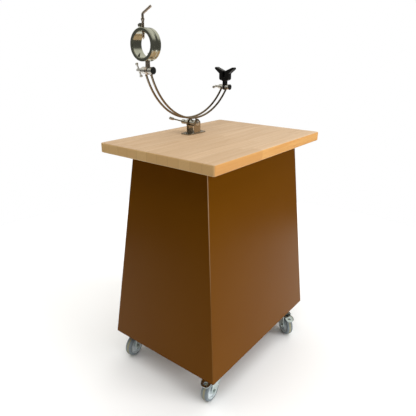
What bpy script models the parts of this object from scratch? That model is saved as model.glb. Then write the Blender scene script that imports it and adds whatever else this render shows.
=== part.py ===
"""Ham-carving trolley: a tapered steel cabinet on swivel castors, a beech board on top of it, and a
stainless ham holder on the board. Metres, +Z up. The origin is on the floor under the middle of the
board, +X runs along the board's long side, and the braked castors are on the -Y side."""

import math

import bmesh
import bpy
from mathutils import Vector

# Driving dimensions, in metres
FIT = 0.0003  # air left between pieces that touch
BOARD = (0.616, 0.432, 0.030)
BOARD_TOP = 0.787
SKIRT_Z = 0.100  # lower edge of the cabinet
CABINET_BOTTOM = (0.595, 0.435)
CABINET_TOP = (0.5145, 0.289)
TOP_SHIFT = 0.0136  # the -X wall leans in more than the +X wall
SHEET = 0.0015
BEND_RADIUS = 0.004
FLANGE = 0.020  # folded in under the board
DOOR = (0.400, 0.520)
DOOR_SILL = 0.062  # from the skirt to the door's lower edge, along the wall
DOOR_GAP = 0.0015
DOOR_DEPTH = 0.012
KNUCKLE = 0.0035  # hinge axis outside the wall's face

WHEEL_RADIUS = 0.0375
TYRE_WIDTH = 0.025
CASTOR_TRAIL = 0.036
CASTOR_PLATE = (0.060, 0.060, 0.0025)
FORK_GAP = 0.029
FORK_WALL = 0.0025
FORK_TOP = 0.0885
AXLE_RADIUS = 0.004
PEDAL_PIVOT = (0.034, 0.0805)
PEDAL_PIN = 0.002
# Swivel axis X and Y, the way the wheel trails in degrees from +X, and whether it has a brake
CASTORS = {
    "castor_front_left": (-0.225, -0.176, 184, True),
    "castor_rear_left": (-0.225, 0.176, 188, False),
    "castor_front_right": (0.216, -0.176, 238, True),
    "castor_rear_right": (0.216, 0.176, 115.5, False),
}

HOLDER_Y = 0.103  # the plane midway between the two rods
HUB_Z = 0.0342  # tilt axis above the board
HUB_RADIUS = 0.010
ROD_RADIUS = 0.0033
ROD_SPACING = 0.021
ROD_STEPS = 22
ARC_RADIUS = 0.2172
ARC_CENTRE_Z = 0.2704  # above the board
ARC_ENDS = (196.6, 324.4)  # degrees
BRACKET_FOOT = (0.046, 0.0195)
BRACKET_GAP = 0.0284
BRACKET_PLATE = 0.003
FOOT_SCREW_X = 0.037
BOLT_RADIUS = 0.005
BOLT_HEAD = 0.0087
LEVER_REACH = (-0.057, 0.012, 0.0173)

RING_CLAMP = (-0.2070, 0.2088)  # X, and height above the board
REST_CLAMP = (0.1785, 0.1425)
RING_TUBE = 0.0098
REST_TUBE = 0.0090
CLAMP_TUBE_LENGTH = 0.040
SPINDLE = 0.004
TEE_Y = 0.037
TEE_RADIUS = 0.0025
TEE_LENGTH = 0.043
RING_FRONT_X = -0.2300
RING_CENTRE_Z = 0.2780
RING_RADIUS = 0.0447
RING_BORE = 0.0350
RING_DEPTH = 0.0360
RING_SPLIT = 0.0155  # depth of the turning front part
SLEEVE_RADIUS = 0.0385
LOCK_PLACE = 0.0265  # behind the ring's front face
LOCK_ANGLE = math.radians(29)
SCREW_RADIUS = 0.004
SCREW_PLACE = 0.0100  # behind the ring's front face
HANDLE_YAW = math.radians(-52.4)
HANDLE_BEND = math.radians(51)
HANDLE_ARM = 0.0285
REST_WIDTH = 0.020

WALL_HEIGHT = BOARD_TOP - BOARD[2] - SKIRT_Z
TO_Y = (-math.pi / 2, 0, 0)  # turns a piece's own Z axis to +Y
TO_X = (0, math.pi / 2, 0)  # turns a piece's own Z axis to +X
FLAT_TO_XZ = (math.pi / 2, 0, 0)  # stands a flat outline in the XZ plane
FLAT_TO_YZ = (math.pi / 2, 0, math.pi / 2)  # stands a flat outline in the YZ plane


# Scene, collections and materials
def clear_scene():
    for old in list(bpy.data.objects):
        bpy.data.objects.remove(old, do_unlink=True)


def collection(name):
    made = bpy.data.collections.new(name)
    bpy.context.scene.collection.children.link(made)
    return made


clear_scene()
PARTS = collection("ham_carving_trolley")
CUTTERS = collection("cutters")
CUTTERS.hide_render = True


def material(name, colour, roughness, metallic=0.0):
    made = bpy.data.materials.new(name)
    made.use_nodes = True
    shader = made.node_tree.nodes["Principled BSDF"]
    shader.inputs["Base Color"].default_value = (*colour, 1)
    shader.inputs["Roughness"].default_value = roughness
    shader.inputs["Metallic"].default_value = metallic
    return made


BEECH = material("beech", (0.58, 0.40, 0.25), 0.5)
COAT = material("brown_coat", (0.11, 0.055, 0.018), 0.45)
STAINLESS = material("stainless", (0.62, 0.61, 0.58), 0.18, 1.0)
ZINC = material("zinc", (0.60, 0.64, 0.66), 0.3, 1.0)
RIM_PLASTIC = material("rim_plastic", (0.42, 0.45, 0.47), 0.45)
TYRE_RUBBER = material("tyre_rubber", (0.16, 0.18, 0.19), 0.7)
BLACK_PLASTIC = material("black_plastic", (0.012, 0.012, 0.013), 0.4)


# Shape helpers
def place(obj, location, rotation, parent):
    obj.location = location
    obj.rotation_euler = rotation
    obj.parent = parent
    return obj


def add(name, mesh, mat, location=(0, 0, 0), rotation=(0, 0, 0), parent=None):
    obj = bpy.data.objects.new(name, mesh)
    PARTS.objects.link(obj)
    mesh.materials.clear()
    mesh.materials.append(mat)
    return place(obj, location, rotation, parent)


def pivot(name, location, rotation=(0, 0, 0), parent=None):
    """An empty on a joint's axis."""
    empty = bpy.data.objects.new(name, None)
    empty.empty_display_size = 0.02
    PARTS.objects.link(empty)
    return place(empty, location, rotation, parent)


def as_cutter(obj):
    PARTS.objects.unlink(obj)
    CUTTERS.objects.link(obj)
    obj.hide_render = True
    obj.display_type = "WIRE"
    return obj


def boolean(obj, other, operation):
    modifier = obj.modifiers.new(operation.lower(), "BOOLEAN")
    modifier.operation = operation
    modifier.object = as_cutter(other)


def bevel(obj, width, segments=2, angle=40):
    modifier = obj.modifiers.new("rounded", "BEVEL")
    modifier.width = width
    modifier.segments = segments
    modifier.limit_method = "ANGLE"
    modifier.angle_limit = math.radians(angle)


def box_mesh(name, size):
    mesh = bpy.data.meshes.new(name)
    bm = bmesh.new()
    bmesh.ops.create_cube(bm, size=1)
    bmesh.ops.scale(bm, vec=size, verts=bm.verts)
    bm.to_mesh(mesh)
    bm.free()
    return mesh


def box(name, size, mat, location=(0, 0, 0), rotation=(0, 0, 0), parent=None):
    return add(name, box_mesh(name, size), mat, location, rotation, parent)


def turned(
    name, profile, mat, location=(0, 0, 0), rotation=(0, 0, 0), parent=None, steps=24, bored=False
):
    """A turned piece. The profile lists (radius, height) down its outer side, and back up its bore."""
    mesh = bpy.data.meshes.new(name)
    edges = [(i, i + 1) for i in range(len(profile) - 1)]
    if bored:
        edges.append((len(profile) - 1, 0))
    mesh.from_pydata([(radius, 0, height) for radius, height in profile], edges, [])
    obj = add(name, mesh, mat, location, rotation, parent)
    screw = obj.modifiers.new("turned", "SCREW")
    screw.steps = screw.render_steps = steps
    screw.use_merge_vertices = True
    screw.merge_threshold = 1e-5
    return obj


def rod_profile(radius, low, high, chamfer=0.0):
    """A solid round bar's profile between two heights."""
    return [
        (0, high),
        (radius - chamfer, high),
        *([(radius, high - chamfer), (radius, low + chamfer)] if chamfer else [(radius, low)]),
        *([(radius - chamfer, low)] if chamfer else []),
        (0, low),
    ]


def rounded_outline(corners):
    """Points of a closed outline. Each corner is (x, y, radius), and a rounded one becomes an arc."""
    points = []
    for i, (x, y, radius) in enumerate(corners):
        here = Vector((x, y))
        before = (Vector(corners[i - 1][:2]) - here).normalized()
        after = (Vector(corners[(i + 1) % len(corners)][:2]) - here).normalized()
        if not radius:
            points.append(here)
            continue
        half = before.angle(after) / 2
        centre = here + (before + after).normalized() * radius / math.sin(half)
        start = here + before * radius / math.tan(half) - centre
        end = here + after * radius / math.tan(half) - centre
        turn = start.angle_signed(end)
        steps = max(2, round(abs(turn) / math.radians(22)))
        for k in range(steps + 1):
            angle = -turn * k / steps
            points.append(centre + Vector((
                start.x * math.cos(angle) - start.y * math.sin(angle),
                start.x * math.sin(angle) + start.y * math.cos(angle),
            )))
    return points


def plate(name, corners, thickness, mat, location=(0, 0, 0), rotation=(0, 0, 0), parent=None):
    """A flat plate of a rounded outline, extruded about its own XY plane."""
    curve = bpy.data.curves.new(name, "CURVE")
    curve.dimensions = "2D"
    curve.fill_mode = "BOTH"
    curve.extrude = thickness / 2
    points = rounded_outline(corners)
    spline = curve.splines.new("POLY")
    spline.points.add(len(points) - 1)
    for point, place_at in zip(spline.points, points):
        point.co = (place_at.x, place_at.y, 0, 1)
    spline.use_cyclic_u = True
    return curve_to_part(name, curve, mat, location, rotation, parent)


def bar(name, points, radius, mat, location=(0, 0, 0), rotation=(0, 0, 0), parent=None):
    """A round bar bent along the points."""
    curve = bpy.data.curves.new(name, "CURVE")
    curve.dimensions = "3D"
    curve.bevel_depth = radius
    curve.bevel_resolution = 3
    curve.use_fill_caps = True
    spline = curve.splines.new("POLY")
    spline.points.add(len(points) - 1)
    for point, place_at in zip(spline.points, points):
        point.co = (*place_at, 1)
    return curve_to_part(name, curve, mat, location, rotation, parent)


def curve_to_part(name, curve, mat, location, rotation, parent):
    """The curve's mesh with its caps welded, as a part."""
    source = bpy.data.objects.new(name + "_curve", curve)
    PARTS.objects.link(source)
    graph = bpy.context.evaluated_depsgraph_get()
    mesh = bpy.data.meshes.new_from_object(source.evaluated_get(graph))
    bpy.data.objects.remove(source)
    bm = bmesh.new()
    bm.from_mesh(mesh)
    bmesh.ops.remove_doubles(bm, verts=bm.verts, dist=1e-6)
    bmesh.ops.recalc_face_normals(bm, faces=bm.faces)
    bm.to_mesh(mesh)
    bm.free()
    return add(name, mesh, mat, location, rotation, parent)


# Cabinet
def half_size(z):
    """Half the cabinet's outer width and depth at a height."""
    share = (z - SKIRT_Z) / WALL_HEIGHT
    return tuple((low + (high - low) * share) / 2 for low, high in zip(CABINET_BOTTOM, CABINET_TOP))


def board():
    mesh = box_mesh("board", BOARD)
    bm = bmesh.new()
    bm.from_mesh(mesh)
    upright = [e for e in bm.edges if abs(e.verts[0].co.z - e.verts[1].co.z) > BOARD[2] / 2]
    bmesh.ops.bevel(bm, geom=upright, offset=0.010, segments=4, affect="EDGES", profile=0.5)
    bm.to_mesh(mesh)
    bm.free()
    obj = add("board", mesh, BEECH, (0, 0, BOARD_TOP - BOARD[2] / 2))
    bevel(obj, 0.003, segments=2, angle=60)


def tapered_walls(name, z_low, z_high):
    """The cabinet's four walls as an open surface with bent corners."""
    mesh = box_mesh(name, (2, 2, 2))
    bm = bmesh.new()
    bm.from_mesh(mesh)
    for vert in bm.verts:
        z = z_high if vert.co.z > 0 else z_low
        half = half_size(z)
        middle = TOP_SHIFT * (z - SKIRT_Z) / WALL_HEIGHT
        vert.co = (middle + math.copysign(half[0], vert.co.x), math.copysign(half[1], vert.co.y), z)
    upright = [e for e in bm.edges if abs(e.verts[0].co.z - e.verts[1].co.z) > 0.1]
    bmesh.ops.bevel(bm, geom=upright, offset=BEND_RADIUS, segments=3, affect="EDGES", profile=0.5)
    bm.normal_update()
    top = [f for f in bm.faces if f.normal.z > 0.9]
    bmesh.ops.inset_region(bm, faces=top, thickness=FLANGE, use_even_offset=True)
    bottom = [f for f in bm.faces if f.normal.z < -0.9]
    bmesh.ops.delete(bm, geom=top + bottom, context="FACES_ONLY")
    bm.to_mesh(mesh)
    bm.free()
    return mesh


REAR_LEAN = math.atan2((CABINET_BOTTOM[1] - CABINET_TOP[1]) / 2, WALL_HEIGHT)
REAR_WALL = (0, CABINET_BOTTOM[1] / 2, SKIRT_Z)  # a point on the rear wall's outer face


def body_shell():
    shell = add("body_shell", tapered_walls("body_shell", SKIRT_Z, BOARD_TOP - BOARD[2] - FIT), COAT)
    sheet = shell.modifiers.new("sheet", "SOLIDIFY")
    sheet.thickness = SHEET
    sheet.offset = -1
    sheet.use_even_offset = True
    wall = pivot("rear_wall_frame", REAR_WALL, (REAR_LEAN, 0, 0))
    opening = box(
        "door_opening",
        (DOOR[0] + 2 * DOOR_GAP, 0.04, DOOR[1] + 2 * DOOR_GAP),
        COAT,
        (0, 0, DOOR_SILL + DOOR[1] / 2),
        parent=wall,
    )
    boolean(shell, opening, "DIFFERENCE")


def base_plate():
    half = half_size(SKIRT_Z + 0.0025)
    inset = SHEET + 0.0035  # the walls lean in above it
    size = (2 * (half[0] - inset), 2 * (half[1] - inset), 0.002)
    box("base_plate", size, COAT, (0, 0, SKIRT_Z + FIT + 0.001))


def door_hinge(name, z, hinge, door):
    """A butt hinge: two knuckles and the pin on the wall's leaf, and the middle knuckle on the door's."""
    outer, inner, pin, round_out = 0.025, 0.0085, 0.0014, 0.003
    barrel = [
        (0, outer), (round_out, outer), (round_out, inner), (pin, inner),
        (pin, -inner), (round_out, -inner), (round_out, -outer), (0, -outer),
    ]
    barrel = turned("door_hinge_" + name, barrel, ZINC, (0, 0, z), parent=hinge, steps=12)
    low = FIT - KNUCKLE
    leaf = box("leaf", (0.0185, 0.0012, 2 * outer), ZINC, (0.0128, low + 0.0006, z), parent=hinge)
    boolean(barrel, leaf, "UNION")
    for side in (-1, 1):
        at = (0.004, low + 0.0016, z + side * (outer + inner) / 2)
        boolean(barrel, box("neck", (0.006, 0.0032, outer - inner), ZINC, at, parent=hinge), "UNION")
    inner -= FIT
    lug = [
        (-0.022, low - 0.0007, 0), (-0.0025, low - 0.0007, 0), (0.003, -0.003, 0.0028), (0.003, 0.003, 0.0028),
        (-0.003, 0.003, 0.0028), (-0.0045, low + 0.0012, 0), (-0.022, low + 0.0012, 0),
    ]
    lug = plate("door_lug", lug, 2 * inner, ZINC, (0, 0, z), parent=hinge)
    bore = rod_profile(pin + FIT, -0.010, 0.010)
    bore = turned("door_knuckle_bore", bore, ZINC, (0, 0, z), parent=hinge, steps=12)
    boolean(lug, bore, "DIFFERENCE")
    boolean(door, lug, "UNION")


def rear_door():
    """A folded pan that closes the rear opening, on two butt hinges at its +X edge."""
    hinge_x = DOOR[0] / 2 + DOOR_GAP / 2
    wall = bpy.data.objects["rear_wall_frame"]
    hinge = pivot("door_hinge_axis", (hinge_x, KNUCKLE, DOOR_SILL), parent=wall)
    mesh = box_mesh("rear_door", (DOOR[0], DOOR_DEPTH, DOOR[1]))
    bm = bmesh.new()
    bm.from_mesh(mesh)
    inner = [f for f in bm.faces if f.normal.y < -0.9]
    bmesh.ops.delete(bm, geom=inner, context="FACES_ONLY")
    bm.to_mesh(mesh)
    bm.free()
    door = add("rear_door", mesh, COAT, (-hinge_x, -KNUCKLE - DOOR_DEPTH / 2, DOOR[1] / 2), parent=hinge)
    sheet = door.modifiers.new("sheet", "SOLIDIFY")
    sheet.thickness = SHEET
    sheet.offset = -1
    sheet.use_even_offset = True
    knob = [(0, 0.022), (0.009, 0.022), (0.012, 0.019), (0.012, 0.015), (0.006, 0.008), (0.006, 0), (0, 0)]
    knob_at = (0.035 - DOOR[0] - DOOR_GAP / 2, FIT - KNUCKLE, DOOR[1] * 0.62)
    turned("door_knob", knob, ZINC, knob_at, TO_Y, hinge, steps=16)
    for name, z in (("lower", 0.075), ("upper", DOOR[1] - 0.075)):
        door_hinge(name, z, hinge, door)
    edge = -(DOOR[0] / 2 + DOOR_GAP)
    z = DOOR_SILL + DOOR[1] * 0.62
    catch_at = (edge + 0.006, -DOOR_DEPTH - 0.0066, z)
    catch = box("magnetic_catch", (0.036, 0.012, 0.045), BLACK_PLASTIC, catch_at, parent=wall)
    foot_at = (edge - 0.012, -SHEET - FIT - 0.007, z)
    foot = box("catch_foot", (0.020, 0.014, 0.045), BLACK_PLASTIC, foot_at, parent=wall)
    boolean(catch, foot, "UNION")


# Castors. Each is built about its own swivel axis, with X running back to the wheel
def castor_plate(name, parent):
    flange = box(name + "_plate", CASTOR_PLATE, ZINC, (0, 0, SKIRT_Z - CASTOR_PLATE[2] / 2), parent=parent)
    low = FORK_TOP + FIT
    race = [(0, 0.0985), (0.016, 0.0985), (0.021, 0.0945), (0.021, 0.0915), (0.017, low), (0, low)]
    boolean(flange, turned("race", race, ZINC, parent=parent), "UNION")


def fork(name, parent, braked):
    axle_x = CASTOR_TRAIL
    side = [
        (-0.021, FORK_TOP, 0.004),
        (-0.021, 0.074, 0.008),
        (axle_x - 0.011, WHEEL_RADIUS - 0.010, 0.010),
        (axle_x + 0.011, WHEEL_RADIUS - 0.010, 0.010),
        (axle_x + 0.011, WHEEL_RADIUS + 0.010, 0.012),
        (0.043, 0.074, 0.006),
        (0.043, FORK_TOP, 0.006),
    ]
    legs = plate(name + "_fork", side, FORK_GAP + 2 * FORK_WALL, ZINC, rotation=FLAT_TO_XZ, parent=parent)
    slot = box("slot", (0.2, FORK_GAP, 0.1), ZINC, (0, 0, FORK_TOP - 0.003 - 0.05), parent=parent)
    hole = rod_profile(AXLE_RADIUS + FIT, -0.03, 0.03)
    axle_hole = turned("axle_hole", hole, ZINC, (axle_x, 0, WHEEL_RADIUS), TO_Y, parent, steps=16)
    boolean(legs, slot, "DIFFERENCE")
    boolean(legs, axle_hole, "DIFFERENCE")
    if braked:
        hole = rod_profile(PEDAL_PIN + FIT, -0.03, 0.03)
        at = (PEDAL_PIVOT[0], 0, PEDAL_PIVOT[1])
        pin_hole = turned("pin_hole", hole, ZINC, at, TO_Y, parent, steps=12)
        boolean(legs, pin_hole, "DIFFERENCE")


def wheel(name, swivel):
    axis = pivot(name + "_axle_axis", (CASTOR_TRAIL, 0, WHEEL_RADIUS), parent=swivel)
    wide = FORK_GAP / 2 + FORK_WALL + FIT
    head = wide + 0.004
    axle = [
        (0, head), (0.0065, head), (0.0065, wide), (AXLE_RADIUS, wide),
        (AXLE_RADIUS, -wide), (0.0065, -wide), (0.0065, -head), (0, -head),
    ]
    turned(name + "_axle", axle, ZINC, rotation=TO_Y, parent=axis, steps=12)
    bore = AXLE_RADIUS + FIT
    seat = WHEEL_RADIUS - 0.009
    rim = [
        (seat, 0.0115), (seat, -0.0115), (seat - 0.004, -0.006), (0.012, -0.006),
        (0.010, -0.0138), (bore, -0.0138), (bore, 0.0138), (0.010, 0.0138), (0.012, 0.006),
        (seat - 0.004, 0.006),
    ]
    turned(name + "_rim", rim, RIM_PLASTIC, rotation=TO_Y, parent=axis, steps=16, bored=True)
    half = TYRE_WIDTH / 2
    tyre = [
        (WHEEL_RADIUS, 0.007), (WHEEL_RADIUS, -0.007), (WHEEL_RADIUS - 0.003, -half),
        (seat + FIT, -half), (seat + FIT, half), (WHEEL_RADIUS - 0.003, half),
    ]
    turned(name + "_tyre", tyre, TYRE_RUBBER, rotation=TO_Y, parent=axis, steps=24, bored=True)


def brake_pedal(name, swivel):
    """A bent steel tongue over the tyre. Its pin turns in the fork's legs."""
    axis = pivot(name + "_pedal_axis", (PEDAL_PIVOT[0], 0, PEDAL_PIVOT[1]), parent=swivel)
    tongue = [
        (-0.0035, -0.0018, 0), (-0.0035, 0.0023, 0), (0.016, -0.0005, 0), (0.0400, -0.0090, 0),
        (0.0392, -0.0115, 0), (0.0155, -0.0033, 0),
    ]
    pedal = plate(name + "_pedal", tongue, 0.026, ZINC, rotation=FLAT_TO_XZ, parent=axis)
    wide = FORK_GAP / 2 + FORK_WALL
    pin = turned("pin", rod_profile(PEDAL_PIN, -wide, wide), ZINC, rotation=TO_Y, parent=axis, steps=12)
    boolean(pedal, pin, "UNION")


def castors():
    for name, (x, y, trail_angle, braked) in CASTORS.items():
        swivel = pivot(name + "_swivel_axis", (x, y, 0), (0, 0, math.radians(trail_angle)))
        castor_plate(name, pivot(name + "_plate_frame", (x, y, 0)))
        fork(name, swivel, braked)
        wheel(name, swivel)
        if braked:
            brake_pedal(name, swivel)


# Holder base
def base_bracket():
    """A pressed bracket: a foot strip with two arched plates standing on it."""
    foot = pivot("bracket_frame", (0, HOLDER_Y, BOARD_TOP + FIT))
    half_x, half_y = BRACKET_FOOT
    strip = [(x * half_x, y * half_y, 0.007) for x, y in ((-1, -1), (1, -1), (1, 1), (-1, 1))]
    bracket = plate("base_bracket", strip, 0.003, STAINLESS, (0, 0, 0.0015), parent=foot)
    arch = [
        (-0.0165, 0.001, 0), (0.0165, 0.001, 0), (0.0165, 0.038, 0.010),
        (0, 0.0525, 0.009), (-0.0165, 0.038, 0.010),
    ]
    for side, hole in ((-1, BOLT_HEAD + FIT), (1, BOLT_RADIUS + FIT)):
        y = side * (BRACKET_GAP + BRACKET_PLATE) / 2
        ear = plate("arch", arch, BRACKET_PLATE, STAINLESS, (0, y, 0), FLAT_TO_XZ, foot)
        boolean(bracket, ear, "UNION")
        bore = rod_profile(hole, -0.006, 0.006)
        boolean(bracket, turned("bore", bore, STAINLESS, (0, y, HUB_Z - FIT), TO_Y, foot), "DIFFERENCE")
    screw = [(0, 0.0057), (0.0035, 0.0052), (0.0048, 0.0033), (0.002, 0.0033), (0.002, -0.014), (0, -0.014)]
    for name, side in (("left", -1), ("right", 1)):
        hole = rod_profile(0.002 + FIT, -0.015, 0.01)
        at = (side * FOOT_SCREW_X, 0, 0)
        boolean(bracket, turned("screw_hole", hole, STAINLESS, at, parent=foot, steps=12), "DIFFERENCE")
        pilot = turned("pilot_hole", hole, BEECH, at, parent=foot, steps=12)
        boolean(bpy.data.objects["board"], pilot, "DIFFERENCE")
        turned("foot_screw_" + name, screw, STAINLESS, at, parent=foot, steps=12)


def hub_and_bolt(tilt):
    edge = BRACKET_GAP / 2 - FIT
    bore = BOLT_RADIUS + FIT
    tube = [(HUB_RADIUS, edge), (HUB_RADIUS, -edge), (bore, -edge), (bore, edge)]
    hub = turned("hub_tube", tube, STAINLESS, rotation=TO_Y, parent=tilt, bored=True)
    rod_low = ARC_CENTRE_Z - ARC_RADIUS - ROD_RADIUS - FIT - HUB_Z
    for side in (-1, 1):
        low = HUB_RADIUS - 0.002
        centre = (0, side * ROD_SPACING / 2, (low + rod_low) / 2)
        boolean(hub, box("saddle", (0.008, 0.0055, rod_low - low), STAINLESS, centre, parent=tilt), "UNION")
    front = -BRACKET_GAP / 2
    face = front - BRACKET_PLATE
    bolt = [
        (0, 0.0455), (BOLT_RADIUS, 0.0455), (BOLT_RADIUS, front), (BOLT_HEAD, front),
        (BOLT_HEAD, face), (0.0060, face - 0.0022), (0, face - 0.003),
    ]
    turned("pivot_bolt", bolt, STAINLESS, rotation=TO_Y, parent=tilt)


def clamp_lever(tilt):
    """A threaded hub that squeezes the bracket, turned by a short arm with a knob."""
    axis = pivot("clamp_lever_axis", (0, 0, 0), parent=tilt)
    near = BRACKET_GAP / 2 + BRACKET_PLATE + FIT
    bore = BOLT_RADIUS + FIT
    hub = [
        (0, 0.0525), (0.005, 0.0525), (0.0075, 0.050), (0.0075, 0.0375), (0.006, 0.036), (0.006, 0.028),
        (0.010, 0.028), (0.010, near), (bore, near), (bore, 0.046), (0, 0.046),
    ]
    lever = turned("clamp_lever", hub, STAINLESS, rotation=TO_Y, parent=axis)
    along = Vector(LEVER_REACH).normalized()
    start = Vector((0, 0.045, 0))
    low, high = start + along * 0.0068, start + along * 0.050
    boolean(lever, bar("lever_arm", [low, high], 0.0025, STAINLESS, parent=axis), "UNION")
    turn = along.to_track_quat("Z", "Y").to_euler()
    knob = [
        (0, 0.062), (0.0032, 0.0612), (0.005, 0.058), (0.005, 0.047), (0.004, 0.044),
        (0.0025 + FIT, 0.044), (0.0025 + FIT, 0.051), (0, 0.051),
    ]
    turned("lever_knob", knob, STAINLESS, start, turn, axis, steps=16)


def rod(name, side, tilt):
    points = []
    for k in range(ROD_STEPS + 1):
        angle = math.radians(ARC_ENDS[0] + (ARC_ENDS[1] - ARC_ENDS[0]) * k / ROD_STEPS)
        z = ARC_CENTRE_Z + ARC_RADIUS * math.sin(angle) - HUB_Z
        points.append((ARC_RADIUS * math.cos(angle), side * ROD_SPACING / 2, z))
    arm = bar(name, points, ROD_RADIUS, STAINLESS, parent=tilt)
    for (x, z), radius in ((RING_CLAMP, RING_TUBE), (REST_CLAMP, REST_TUBE)):
        cope = rod_profile(radius + FIT, -0.02, 0.02)
        boolean(arm, turned("cope", cope, STAINLESS, (x, 0, z - HUB_Z), TO_Y, tilt, 20), "DIFFERENCE")


def clamp(name, radius, tee_angle, parent):
    """A cross tube on the rods, with a plug at one end and a T-handled spindle at the other."""
    half = CLAMP_TUBE_LENGTH / 2
    bore = SPINDLE + FIT
    tube = [(radius, half), (radius, -half), (bore, -half), (bore, half)]
    turned(name + "_clamp_tube", tube, STAINLESS, rotation=TO_Y, parent=parent, steps=20, bored=True)
    edge = radius + 0.0008
    cap = [
        (0, -half - FIT), (edge, -half - FIT), (edge, -half - 0.0025),
        (edge - 0.001, -half - 0.0032), (0, -half - 0.0032),
    ]
    turned(name + "_end_cap", cap, BLACK_PLASTIC, rotation=TO_Y, parent=parent, steps=20)
    axis = pivot(name + "_tee_axis", (0, 0, 0), parent=parent)
    near = half + FIT
    spindle = [
        (0, 0.045), (0.0034, 0.045), (0.0042, 0.044), (0.0042, 0.029), (0.008, near),
        (SPINDLE, near), (SPINDLE, -half + 0.0005), (0, -half + 0.0005),
    ]
    shaft = turned(name + "_spindle", spindle, STAINLESS, rotation=TO_Y, parent=axis, steps=16)
    turn = (0, math.radians(tee_angle), 0)
    hole = rod_profile(TEE_RADIUS + FIT, -0.01, 0.01)
    boolean(shaft, turned("tee_hole", hole, STAINLESS, (0, TEE_Y, 0), turn, axis, steps=12), "DIFFERENCE")
    end = TEE_LENGTH / 2
    tee = [
        (0, end), (0.0035, end), (0.0045, end - 0.001), (0.0045, end - 0.005), (TEE_RADIUS, end - 0.006),
        (TEE_RADIUS, 0.006 - end), (0.0045, 0.005 - end), (0.0045, 0.001 - end), (0.0035, -end), (0, -end),
    ]
    turned(name + "_tee_bar", tee, STAINLESS, (0, TEE_Y, 0), turn, axis, steps=12)


def eye_screw(name, piece, tube_radius, eye_radius, head, parent):
    """A screw through the eye's -X side that bears on the tube."""
    turn = (0, -math.pi / 2, 0)
    hole = rod_profile(0.0018 + FIT, 0.005, 0.02)
    boolean(piece, turned("screw_hole", hole, STAINLESS, (0, 0, 0), turn, parent, steps=12), "DIFFERENCE")
    seat = eye_radius + FIT
    screw = [
        (0, seat + 0.0026), (head - 0.0006, seat + 0.0026), (head, seat + 0.002), (head, seat),
        (0.0018, seat), (0.0018, tube_radius + FIT), (0, tube_radius + FIT),
    ]
    turned(name, screw, BLACK_PLASTIC, (0, 0, 0), turn, parent, steps=16)


def hoof_ring(tilt):
    at = (RING_CLAMP[0], 0, RING_CLAMP[1] - HUB_Z)
    clamp("ring", RING_TUBE, -24, pivot("ring_clamp_axis", at, parent=tilt))
    ring_tilt = pivot("ring_tilt_axis", at, parent=tilt)
    eye = RING_TUBE + 0.0018
    axis_x, axis_z = RING_FRONT_X - RING_CLAMP[0], RING_CENTRE_Z - RING_CLAMP[1]
    post = turned("ring_post", rod_profile(eye, -0.0045, 0.0045), STAINLESS, rotation=TO_Y, parent=ring_tilt)
    stem = rod_profile(0.00675, RING_TUBE - 0.002, axis_z - RING_RADIUS + 0.004)
    boolean(post, turned("stem", stem, STAINLESS, parent=ring_tilt), "UNION")
    bore = rod_profile(RING_TUBE + FIT, -0.01, 0.01)
    boolean(post, turned("eye_bore", bore, STAINLESS, rotation=TO_Y, parent=ring_tilt), "DIFFERENCE")
    seat = rod_profile(RING_RADIUS + FIT, 0, 0.05)
    seat = turned("seat", seat, STAINLESS, (axis_x, 0, axis_z), TO_X, ring_tilt, steps=48)
    boolean(post, seat, "DIFFERENCE")
    eye_screw("ring_set_screw", post, RING_TUBE, eye, 0.0042, ring_tilt)

    fixed = pivot("ring_fixed_frame", (axis_x, 0, axis_z), parent=ring_tilt)
    near, far, inner = RING_SPLIT + FIT, RING_DEPTH - 0.002, SLEEVE_RADIUS + FIT
    casing = [(RING_RADIUS, far), (RING_RADIUS, near), (inner, near), (inner, far)]
    housing = turned("ring_housing", casing, STAINLESS, rotation=TO_X, parent=fixed, steps=32, bored=True)
    lock = pivot("ring_lock_axis", (LOCK_PLACE, 0, 0), (-LOCK_ANGLE, 0, 0), fixed)
    hole = rod_profile(0.003 + FIT, 0.03, 0.05)
    boolean(housing, turned("lock_hole", hole, STAINLESS, parent=lock, steps=12), "DIFFERENCE")
    knob = [
        (0, 0.063), (0.0055, 0.063), (0.0063, 0.0622), (0.0063, 0.0545),
        (0.003, 0.0535), (0.003, SLEEVE_RADIUS + 0.0006), (0, SLEEVE_RADIUS + 0.0006),
    ]
    turned("ring_lock_screw", knob, STAINLESS, parent=lock, steps=20)

    ring_axis = pivot("ring_turn_axis", (axis_x, 0, axis_z), parent=ring_tilt)
    sleeve = [
        (SLEEVE_RADIUS, RING_DEPTH), (SLEEVE_RADIUS, RING_SPLIT), (RING_RADIUS, RING_SPLIT),
        (RING_RADIUS, 0.001), (RING_RADIUS - 0.001, 0), (RING_BORE + 0.001, 0), (RING_BORE, 0.001),
        (RING_BORE, RING_DEPTH),
    ]
    ring = turned("turning_ring", sleeve, STAINLESS, rotation=TO_X, parent=ring_axis, steps=32, bored=True)
    hole = rod_profile(SCREW_RADIUS + FIT, 0.02, 0.06)
    hole = turned("screw_hole", hole, STAINLESS, (SCREW_PLACE, 0, 0), parent=ring_axis, steps=16)
    boolean(ring, hole, "DIFFERENCE")
    near, far = RING_DEPTH - 0.0017, RING_DEPTH - 0.0002
    clip = [(RING_RADIUS - 0.002, far), (RING_RADIUS - 0.002, near), (inner, near), (inner, far)]
    turned("retaining_ring", clip, STAINLESS, rotation=TO_X, parent=ring_axis, steps=32, bored=True)
    spike = [(0, 0.0345), (0.003, 0.0345), (0, 0.026)]
    for name, side in (("front", 1), ("rear", -1)):
        turn = (side * math.radians(145), 0, 0)
        at = (SCREW_PLACE - 0.0005, 0, 0)
        turned("grip_spike_" + name, spike, STAINLESS, at, turn, ring_axis, steps=12)
    clamp_screw(ring_axis)


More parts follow.
